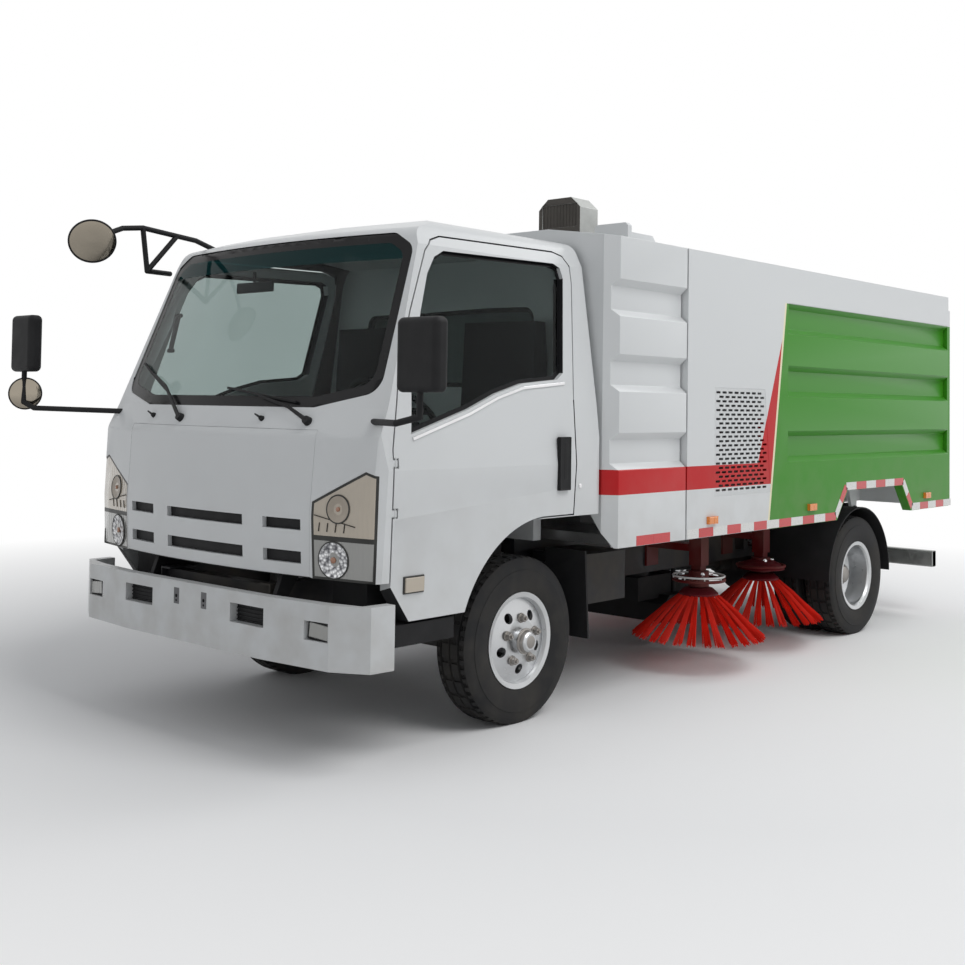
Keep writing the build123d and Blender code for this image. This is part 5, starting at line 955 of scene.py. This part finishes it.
def lamp_reflectors(hand, side):
    """Bowls with their bulbs on a headlamp's front, and the slits of its ledge, drawn as dark strips that are
    painted shade.
    """
    bulbs = bmesh.new()
    for y, z, radius, finish, count in LAMP_BOWLS:
        seat, normal = from_front("headlamps", side * y, z)
        base = seat - normal * 0.004
        bm = bmesh.new()
        lathe(bm, [(radius * r, h) for r, h in BOWL], base, normal, count)
        piece(f"{finish}_{hand}", bm, finish, "cab", sharp=10)
        lathe(bulbs, [(radius * r, h) for r, h in BULB], base, normal, 24)
        bm = bmesh.new()
        add_ring(bm, seat, normal, radius, 0.0032, 48)
        piece(f"{finish}_rim_{hand}", bm, "lamp_frame", "cab", sharp=60)
    piece("lamp_bulbs_" + hand, bulbs, "bulb", "cab", sharp=50)
    # slits and the line along the ledge: dark strips that are painted shade
    bm = bmesh.new()
    for k in range(SLITS[2]):
        seat, normal = from_front("headlamps", side * (SLITS[0] + SLITS[1] * k), 0.958)
        add_box(bm, (seat.x - 0.003, seat.x + 0.0008), about(seat.y, 0.0022), (0.948, 0.984),
                lean(normal, AHEAD))
    seat, normal = from_front("headlamps", side * LEDGE[0], LEDGE[1])
    add_box(bm, (seat.x - 0.003, seat.x + 0.0010), about(seat.y, LEDGE[2]), about(LEDGE[1], 0.0015),
            lean(normal, AHEAD))
    piece("lamp_slits_" + hand, bm, "slit", "cab")


def fog_lamp(hand, side):
    """Lens in its dark housing, in the bumper's outer opening."""
    y, z = FOG_LAMP
    seat, normal = from_front("front_bumper", side * (y - 0.085), z)
    #                                       behind the bumper's face, half width, half height, rounding
    for name, finish, back, front, half, tall, bevel in (
            ("housing", "black_plastic", 0.046, 0.020, 0.066, 0.039, 0.004),
            ("lens", "headlamp", 0.022, 0.014, 0.052, 0.029, 0.005)):
        bm = bmesh.new()
        add_box(bm, (seat.x - back, seat.x - front), about(side * y, half), about(z, tall),
                lean(normal, AHEAD))
        piece(f"fog_{name}_{hand}", bm, finish, "chassis", bevel=bevel)


def bumper_inserts():
    """Dark mesh behind the bumper's mouths, and the plate bracket's two slots with their holes, the holes as
    near-black discs that are painted shade.
    """
    x = corners("front_bumper")[1].x
    y, z = BUMPER_MOUTH
    mouths, slots, holes = bmesh.new(), bmesh.new(), bmesh.new()
    for side in (1, -1):
        add_box(mouths, (x - 0.046, x - 0.040), about(side * y, 0.109), about(z, 0.0395))
        for z_bar in (z - 0.032 + 0.016 * k for k in range(5)):
            add_box(mouths, (x - 0.041, x - 0.034), about(side * y, 0.108), about(z_bar, 0.002))
        add_box(slots, (x - 0.0005, x + 0.0012), about(side * PLATE_SIDE, 0.019), (0.575, 0.645))
        # the holes: near-black discs that are painted shade
        for z_hole, radius in ((0.590, 0.005), (0.610, 0.0075)):
            add_drum(holes, (x + 0.0014, side * PLATE_SIDE, z_hole), AHEAD, radius, 0.0012, 20)
    piece("bumper_mouths", mouths, "black_plastic", "chassis")
    piece("plate_slots", slots, "slot_grey", "chassis", bevel=0.0005)
    piece("plate_holes", holes, "void", "chassis")


class SWEEPER_OT_front(bpy.types.Operator):
    """Headlamps, fog lamps, bumper mouths and plate bracket"""
    bl_idname = "sweeper.front"
    bl_label = "Front end"

    def execute(self, context):
        headlamps()
        for hand, side in SIDES:
            lamp_reflectors(hand, side)
            fog_lamp(hand, side)
        bumper_inserts()
        return {"FINISHED"}


LOCK = (-0.235, 1.095)          # from the front axle, height
SIDE_MARKER = (0.860, 0.738)


def door_fittings(hand, side):
    """Handle in its cup, lock, and the marker on the front lower corner of a door."""
    body = "door_" + hand
    out = Vector((0, side, 0))
    x, z = ax(sum(DOOR_HANDLE_X) / 2), sum(DOOR_HANDLE_Z) / 2
    face_y = abs(from_side(body, side, x, z)[0].y)
    bm = bmesh.new()
    add_box(bm, [ax(end) for end in DOOR_HANDLE_X], span(side, face_y - 0.020, face_y + 0.0015),
            DOOR_HANDLE_Z)
    front = faces_towards(bm, out, 0.9)
    bmesh.ops.inset_region(bm, faces=front, thickness=0.010)
    bmesh.ops.inset_region(bm, faces=front, thickness=0.004, depth=-0.008)
    piece("door_handle_" + hand, bm, "black_plastic", body, bevel=0.003)
    bm = bmesh.new()
    add_box(bm, (x - 0.016, x + 0.010), span(side, face_y - 0.006, face_y + 0.001), (z - 0.075, z + 0.100))
    piece("door_grip_" + hand, bm, "black_plastic", body, bevel=0.004)
    seat, normal = from_side("cab_shell", side, ax(LOCK[0]), LOCK[1])
    bm = bmesh.new()
    add_drum(bm, seat + normal * 0.001, normal, 0.012, 0.006, 28, 0.011)
    add_drum(bm, seat + normal * 0.005, normal, 0.008, 0.003, 24, 0.0075)
    piece("door_lock_" + hand, bm, "chrome", body, bevel=0.0006)
    seat, normal = from_side(body, side, ax(SIDE_MARKER[0]), SIDE_MARKER[1])
    for name, finish, half, tall, near, far in (("frame", "lamp_frame", 0.060, 0.036, -0.002, 0.006),
                                                ("lens", "turn_lamp", 0.054, 0.030, 0.003, 0.013)):
        bm = bmesh.new()
        add_box(bm, about(seat.x, half), span(side, side * seat.y + near, side * seat.y + far),
                about(seat.z, tall), lean(normal, out))
        piece(f"side_marker_{name}_{hand}", bm, finish, body, bevel=0.004)


class SWEEPER_OT_doors(bpy.types.Operator):
    """Door handles, locks and side markers"""
    bl_idname = "sweeper.doors"
    bl_label = "Door fittings"

    def execute(self, context):
        for hand, side in SIDES:
            door_fittings(hand, side)
        return {"FINISHED"}


BODY_SIDE = corners("front_module")[1].y
TAPE_LENGTH = 0.150
TAPE_EDGE = 0.812               # middle of the tape along the skirt's lower edge
TAPE_LEAD = 0.113               # shorter white piece at the front of the hopper
TAPE_HALF_HEIGHT = 0.024
ARCH_PATH = ((0.575, 0.812), (0.432, 0.990))            # ahead of the rear axle, height
SIDE_LAMPS = ((-1.322, 0.874), (-2.456, 0.885), (-4.179, 0.880))
HOOD_SPLIT_Y = 0.69             # the roof box lies outside this, the intake hood inside


def tape(name, side, path, body, lead=0.0, only_red=0):
    """Strips of red and white tape laid along a path of (x, z) points; a shorter white piece may lead."""
    bm = bmesh.new()
    y = span(side, BODY_SIDE - 0.0004, BODY_SIDE + 0.0011)
    count = 1 if lead else 0
    for start, end in zip(path, path[1:]):
        a, b = Vector((start[0], 0, start[1])), Vector((end[0], 0, end[1]))
        length = (b - a).length
        pieces = only_red or max(1, round((length - lead) / TAPE_LENGTH))
        marks = ([0.0] if lead else []) + [lead + (length - lead) * k / pieces for k in range(pieces + 1)]
        lead = 0.0
        turn = Vector((-1, 0, 0)).rotation_difference(b - a).to_matrix()
        for low, high in zip(marks, marks[1:]):
            centre = a.lerp(b, (low + high) / 2 / length)
            before = len(bm.faces)
            add_box(bm, about(centre.x, (high - low) / 2 - 0.0006), y, about(centre.z, TAPE_HALF_HEIGHT),
                    turn)
            bm.faces.ensure_lookup_table()
            for face in bm.faces[before:]:
                face.material_index = 0 if only_red else count % 2
            count += 1
    piece(name, bm, ("tape_red", "tape_white"), body)


def side_lamp_lenses(hand, side):
    """Two-part amber lenses over the side lamps' bases."""
    bm = bmesh.new()
    for x, z in SIDE_LAMPS:
        for shift in (-0.022, 0.022):
            add_box(bm, about(ax(x) + shift, 0.0195), span(side, BODY_SIDE + 0.012, BODY_SIDE + 0.0195),
                    about(z, 0.016))
    piece("side_lamp_lenses_" + hand, bm, "amber", "hopper", bevel=0.003)


def rear_trim():
    """Latches and reflectors of the rear door, and caps on the underrun bar."""
    back = corners("rear_door")[0].x
    low, high = corners("underrun_bar")
    latches, reflectors, caps = bmesh.new(), bmesh.new(), bmesh.new()
    for side in (1, -1):
        for z in (1.05, 1.55):
            add_box(latches, (back + 0.012, back + 0.046), span(side, 0.93, 1.005), (z, z + 0.13))
            add_drum(latches, (back + 0.020, side * 0.967, z + 0.065), UP, 0.013, 0.17, 16)
        add_drum(reflectors, (back + 0.026, side * 0.72, 0.90), AHEAD, 0.040, 0.008, 32, 0.037)
        add_box(caps, (low.x + 0.0006, low.x + 0.058), span(side, high.y - 0.004, high.y),
                (low.z + 0.001, low.z + 0.113))
    piece("door_latches", latches, "steel", "rear_door", bevel=0.003)
    piece("rear_reflectors", reflectors, "tail", "rear_door", bevel=0.002)
    piece("underrun_caps", caps, "guard_white", "chassis", bevel=0.002)


def roof_trim():
    """Galvanised intake hood whose front face and slatted plate are a dark brown-grey that is painted shade,
    and the thin white box beside it.
    """
    bm = bmesh.new()
    bm.from_mesh(NODES["roof_hood"].data)
    bmesh.ops.remove_doubles(bm, verts=bm.verts, dist=MERGE)
    for vert in bm.verts:
        if vert.co.y > HOOD_SPLIT_Y and vert.co.x < ax(-0.80):
            vert.co.x = ax(-0.735)
    # the box is white, and the hood's faces that look ahead take the dark brown-grey of painted shade
    for face in bm.faces:
        in_box = face.calc_center_median().y > HOOD_SPLIT_Y
        face.material_index = 1 if in_box else 2 if face.normal.x > 0.9 else 0
    piece("roof_hood_dressed", bm, ("galvanised", "paint_white", "hood_front"), "chassis", ("roof_hood",),
          bevel=0.003, outward=False)
    front, top = ax(-0.655), corners("roof_hood")[1].z
    # dark plate and slats across the hood's front, in the same painted shade
    bm = bmesh.new()
    add_box(bm, (front - 0.016, front - 0.006), (0.408, 0.637), (top - 0.157, top - 0.033))
    for y in (0.418 + 0.0209 * k for k in range(11)):
        add_box(bm, (front - 0.0065, front - 0.003), about(y, 0.0022), (top - 0.156, top - 0.034))
    piece("hood_screen", bm, "hood_front", "chassis")


class SWEEPER_OT_body_trim(bpy.types.Operator):
    """Reflective tape, lamps, latches and the roof's intake hood"""
    bl_idname = "sweeper.body_trim"
    bl_label = "Body trim"

    def execute(self, context):
        rear, front = (corner.x for corner in corners("hopper"))
        arch = [(REAR_AXLE + x, z) for x, z in ARCH_PATH] + [(REAR_AXLE - x, z) for x, z in ARCH_PATH[::-1]]
        module = [(ax(x), TAPE_EDGE) for x in (-0.628, -0.928)]
        skirt = [(front - 0.004, TAPE_EDGE), *arch, (rear + 0.004, TAPE_EDGE)]
        for hand, side in SIDES:
            tape("tape_hopper_" + hand, side, skirt, "hopper", TAPE_LEAD)
            tape("tape_module_" + hand, side, module, "chassis", only_red=2)
            side_lamp_lenses(hand, side)
        rear_trim()
        roof_trim()
        return {"FINISHED"}


#                name, ahead of the front axle, Y, height, radius, direction
ROUND_MIRRORS = (("front_mirror", 1.310, -0.750, 2.220, 0.112, (0.42, 0.75, -0.5)),
                 ("lower_mirror", 1.310, -1.345, 1.492, 0.082, (0.42, 0.9, -0.1)))
#                name, ahead of the front axle, Y, height, width, height of the housing
HOUSING_MIRRORS = (("left_mirror", 1.137, 1.290, 1.655, 0.220, 0.285),
                   ("right_mirror", 1.310, -1.345, 1.745, 0.200, 0.285))
HOUSING_RIM = 0.028
#         radius as a share of the mirror's, height
MIRROR_FACE = ((0, 0.012), (0.45, 0.0105), (0.78, 0.0065), (0.93, 0.002), (0.93, -0.002), (0, -0.002))
MIRROR_RIM = ((0.92, 0.001), (0.94, 0.0055), (0.99, 0.0055), (1, -0.002), (0.92, -0.004))
#         pivot, elbow, middle of the blade, blade's two ends: to the side, height
WIPERS = (((-0.245, 1.390), (-0.470, 1.530), (-0.640, 1.590), (-0.450, 1.505), (-0.800, 1.640)),
          ((0.600, 1.390), (0.480, 1.440), (0.270, 1.490), (0.500, 1.462), (0.040, 1.520)))
WASHERS = (-0.500, 0.330)
WASHER_Z = 1.397


def front_point(y, z, stand=0.0):
    """Point that stands off the cab's front or its screen, and the normal there."""
    hits = []
    for node in ("windscreen", "cab_shell", "front_panel"):
        try:
            hits.append(from_front(node, y, z))
        except ValueError:
            continue
    point, normal = max(hits, key=lambda hit: hit[0].x)
    return point + normal * stand, normal


def add_rod(bm, start, end, width, deep, narrow=1.0):
    """Flat bar from start to end, its end as wide as its start times narrow."""
    run = end - start
    place = Matrix.Translation((start + end) / 2) @ toward(run).to_4x4()
    matrix = place @ Matrix.Diagonal((deep, width, run.length, 1))
    for vert in bmesh.ops.create_cube(bm, size=1.0, matrix=matrix)["verts"]:
        if (vert.co - end).length < (vert.co - start).length:
            vert.co = end + (vert.co - end) * narrow


def wipers():
    """Arms, blades and pivots of both wipers, and the washer jets."""
    bm = bmesh.new()
    for pivot, elbow, grip, low, high in WIPERS:
        base, normal = front_point(*pivot, 0.010)
        add_drum(bm, base, normal, 0.021, 0.026, 28, 0.017)
        knee, hold = front_point(*elbow, 0.019)[0], front_point(*grip, 0.018)[0]
        add_rod(bm, base + normal * 0.008, knee, 0.018, 0.010, 0.75)
        add_rod(bm, knee, hold, 0.013, 0.008, 0.8)
        low, high = (front_point(*place, 0.013)[0] for place in (low, high))
        blade = [low.lerp(high, k / 4) for k in range(5)]
        blade = [front_point(place.y, place.z, 0.011)[0] for place in blade]
        for start, end in zip(blade, blade[1:]):
            add_rod(bm, start, end, 0.010, 0.012)
    for y in WASHERS:
        base, normal = front_point(y, WASHER_Z, 0.006)
        add_drum(bm, base, normal, 0.013, 0.014, 24, 0.010)
        add_rod(bm, base + normal * 0.006, base + Vector((0.004, -0.040, 0.018)), 0.010, 0.008, 0.6)
    piece("wipers_dressed", bm, "black_plastic", "cab", ("wipers",), bevel=0.0015)


def round_mirror(name, x, y, z, radius, way):
    """Domed glass and the rim round it."""
    for part, finish, profile in (("glass", "mirror_glass", MIRROR_FACE),
                                  ("rim", "black_plastic", MIRROR_RIM)):
        bm = bmesh.new()
        lathe(bm, [(radius * r, h) for r, h in profile], (ax(x), y, z), way, 56, closed=part == "rim")
        piece(f"{name}_{part}", bm, finish, "cab", sharp=60)


class SWEEPER_OT_mirrors(bpy.types.Operator):
    """Mirror glasses, rims and wipers"""
    bl_idname = "sweeper.mirrors"
    bl_label = "Mirrors and wipers"

    def execute(self, context):
        wipers()
        for mirror in ROUND_MIRRORS:
            round_mirror(*mirror)
        for name, x, y, z, width, height in HOUSING_MIRRORS:
            rear = ax(x) - 0.0375
            bm = bmesh.new()
            add_box(bm, (rear - 0.003, rear + 0.004), about(y, width / 2 - HOUSING_RIM),
                    about(z, height / 2 - HOUSING_RIM))
            piece(name + "_glass", bm, "mirror_glass", "cab", bevel=0.002)
        return {"FINISHED"}


GRAB_HANDLE_Z = (1.72, 1.90)
SEAT_ROUNDING = 0.028


def seats():
    """Seat cushions and backs with well rounded edges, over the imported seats."""
    obj = piece("seats_padded", node_copy("seats"), "seat_cloth", "cab", ("seats",), outward=False, sharp=180)
    rounded(obj, SEAT_ROUNDING, 3, 30.0)


class SWEEPER_OT_interior(bpy.types.Operator):
    """Padded seats, grab handle and inside mirror"""
    bl_idname = "sweeper.interior"
    bl_label = "Cab interior"

    def execute(self, context):
        seats()
        bm = bmesh.new()
        add_box(bm, (ax(0.780), ax(0.795)), (-0.305, -0.035), (1.985, 2.035))
        add_drum(bm, (ax(0.790), -0.17, 2.055), UP, 0.008, 0.06, 12)
        piece("inside_mirror", bm, "interior", "cab", bevel=0.006)
        bm = bmesh.new()
        low, high = GRAB_HANDLE_Z
        add_drum(bm, (ax(0.80), -0.80, (low + high) / 2), (0.25, 0, -1), 0.012, high - low, 16)
        for z in GRAB_HANDLE_Z:
            add_drum(bm, (ax(0.80) + (z - 1.76) * -0.25, -0.815, z), (0, 1, 0), 0.011, 0.04, 12)
        piece("grab_handle", bm, "interior", "cab", bevel=0.002)
        return {"FINISHED"}


class SWEEPER_OT_underbody(bpy.types.Operator):
    """Straps and filler cap of the fuel tank"""
    bl_idname = "sweeper.underbody"
    bl_label = "Underbody"

    def execute(self, context):
        low, high = corners("fuel_tank")
        bm = bmesh.new()
        for share in (0.25, 0.75):
            add_box(bm, about(low.x + (high.x - low.x) * share, 0.02), (low.y - 0.002, low.y + 0.004),
                    (low.z + 0.06, high.z - 0.10))
        add_drum(bm, (low.x + 0.12, low.y + 0.012, high.z - 0.09), (0, -1, 0.3), 0.038, 0.05, 28)
        piece("tank_straps", bm, "chassis", "chassis", bevel=0.002)
        return {"FINISHED"}


# ---------------------------------------------------------------- stage
FLOOR_FADE = (3.2, 7.5)         # the floor turns plain white between these distances
SKY_LIGHT = 0.44
#        name      place             aim               size   watts
LAMPS = (("key", (1.0, 6.5, 8.5), (-0.3, 0.3, 0.9), 5.0, 360.0),
         ("front", (9.0, -2.5, 5.0), (1.5, 0.0, 1.0), 5.0, 40.0),
         ("back", (-7.5, 3.0, 7.5), (-1.5, 0.3, 1.0), 5.0, 230.0))


def add_floor(scene):
    """Pale floor that keeps the shadow and fades to plain white for the rays that are seen."""
    bm = bmesh.new()
    bmesh.ops.create_grid(bm, x_segments=1, y_segments=1, size=40.0)
    mesh = bpy.data.meshes.new("floor")
    bm.to_mesh(mesh)
    bm.free()
    floor = bpy.data.objects.new("floor", mesh)
    scene.collection.objects.link(floor)
    n = Nodes("floor")
    n.set(base_color=(0.90, 0.90, 0.90, 1), roughness=0.95, specular_ior_level=0.1)
    reach = n.new("VectorMath", {0: n.coords}, operation="LENGTH").outputs["Value"]
    share = n.math("MULTIPLY", n.seen_rays(), n.ramp(reach, *FLOOR_FADE))
    white = n.new("Emission", {"Strength": 1.0})
    blend = n.new("MixShader", {0: share, 1: n.shader.outputs[0], 2: white.outputs[0]})
    n.put(n.output.inputs[0], blend.outputs[0])
    mesh.materials.append(n.material)


def add_world(scene):
    """Soft sky light, plain white for the rays that are seen."""
    scene.world = bpy.data.worlds.new("studio")
    scene.world.use_nodes = True
    n = Tree(scene.world.node_tree)
    light = n.new("Background", {0: (0.95, 0.97, 1.0, 1), 1: SKY_LIGHT})
    white = n.new("Background", {0: (1, 1, 1, 1)})
    blend = n.new("MixShader", {0: n.seen_rays(), 1: light.outputs[0], 2: white.outputs[0]})
    n.new("OutputWorld", {0: blend.outputs[0]})


def add_lamps(scene):
    """Square area lamps aimed at points of the truck."""
    for name, place, aim, size, watts in LAMPS:
        data = bpy.data.lights.new(name, "AREA")
        data.shape = "SQUARE"
        data.size = size
        data.energy = watts
        lamp = bpy.data.objects.new(name, data)
        lamp.location = place
        lamp.rotation_euler = (Vector(aim) - Vector(place)).to_track_quat("-Z", "Y").to_euler()
        scene.collection.objects.link(lamp)


CAMERA_PLACE = (ax(4.483), 4.574, 1.472)
CAMERA_YAW = -138.025           # degrees
CAMERA_PITCH = 2.011
CAMERA_ROLL = 0.843
CAMERA_FOCAL = 1248.43          # pixels, as are the next two
CAMERA_CENTRE = (476.26, 360.29)
IMAGE_SIZE = 965.0


def add_camera(scene):
    """Camera with a shifted centre and no depth of field."""
    data = bpy.data.cameras.new("camera")
    data.sensor_width = 36.0
    data.sensor_fit = "HORIZONTAL"
    data.lens = CAMERA_FOCAL / IMAGE_SIZE * data.sensor_width
    data.shift_x = (IMAGE_SIZE / 2 - CAMERA_CENTRE[0]) / IMAGE_SIZE
    data.shift_y = (CAMERA_CENTRE[1] - IMAGE_SIZE / 2) / IMAGE_SIZE
    camera = bpy.data.objects.new("camera", data)
    yaw, pitch = math.radians(CAMERA_YAW), math.radians(CAMERA_PITCH)
    look = Vector((math.cos(pitch) * math.cos(yaw), math.cos(pitch) * math.sin(yaw), math.sin(pitch)))
    turn = look.to_track_quat("-Z", "Y").to_matrix().to_4x4()
    turn = turn @ Matrix.Rotation(math.radians(CAMERA_ROLL), 4, "Z")
    camera.matrix_world = Matrix.Translation(CAMERA_PLACE) @ turn
    scene.collection.objects.link(camera)
    scene.camera = camera


class SWEEPER_OT_stage(bpy.types.Operator):
    """Floor, soft studio light and the camera"""
    bl_idname = "sweeper.stage"
    bl_label = "Stage, lamps and camera"

    def execute(self, context):
        context.scene.view_settings.view_transform = "Standard"
        for add in (add_floor, add_world, add_lamps, add_camera):
            add(context.scene)
        return {"FINISHED"}


class SWEEPER_PT_panel(bpy.types.Panel):
    """Lists the sweeper's build steps"""
    bl_idname = "SWEEPER_PT_panel"
    bl_label = "Street sweeper truck"
    bl_space_type = "VIEW_3D"
    bl_region_type = "UI"
    bl_category = "Sweeper"

    def draw(self, context):
        for operator in STEPS:
            self.layout.operator(operator.bl_idname)


STEPS = (SWEEPER_OT_finishes, SWEEPER_OT_bodywork, SWEEPER_OT_glazing, SWEEPER_OT_front, SWEEPER_OT_doors,
         SWEEPER_OT_wheels, SWEEPER_OT_brushes, SWEEPER_OT_body_trim, SWEEPER_OT_mirrors, SWEEPER_OT_interior,
         SWEEPER_OT_underbody, SWEEPER_OT_stage)
CLASSES = (SweeperSettings, *STEPS, SWEEPER_PT_panel)


def register():
    for cls in CLASSES:
        bpy.utils.register_class(cls)
    bpy.types.Scene.sweeper = PointerProperty(type=SweeperSettings)


def unregister():
    del bpy.types.Scene.sweeper
    for cls in reversed(CLASSES):
        bpy.utils.unregister_class(cls)


def run(operator):
    """Calls an operator by its name in bpy.ops."""
    space, name = operator.bl_idname.split(".")
    getattr(getattr(bpy.ops, space), name)()


def main():
    register()
    for operator in STEPS:
        run(operator)
    bpy.context.view_layer.update()


if __name__ == "__main__":
    main()
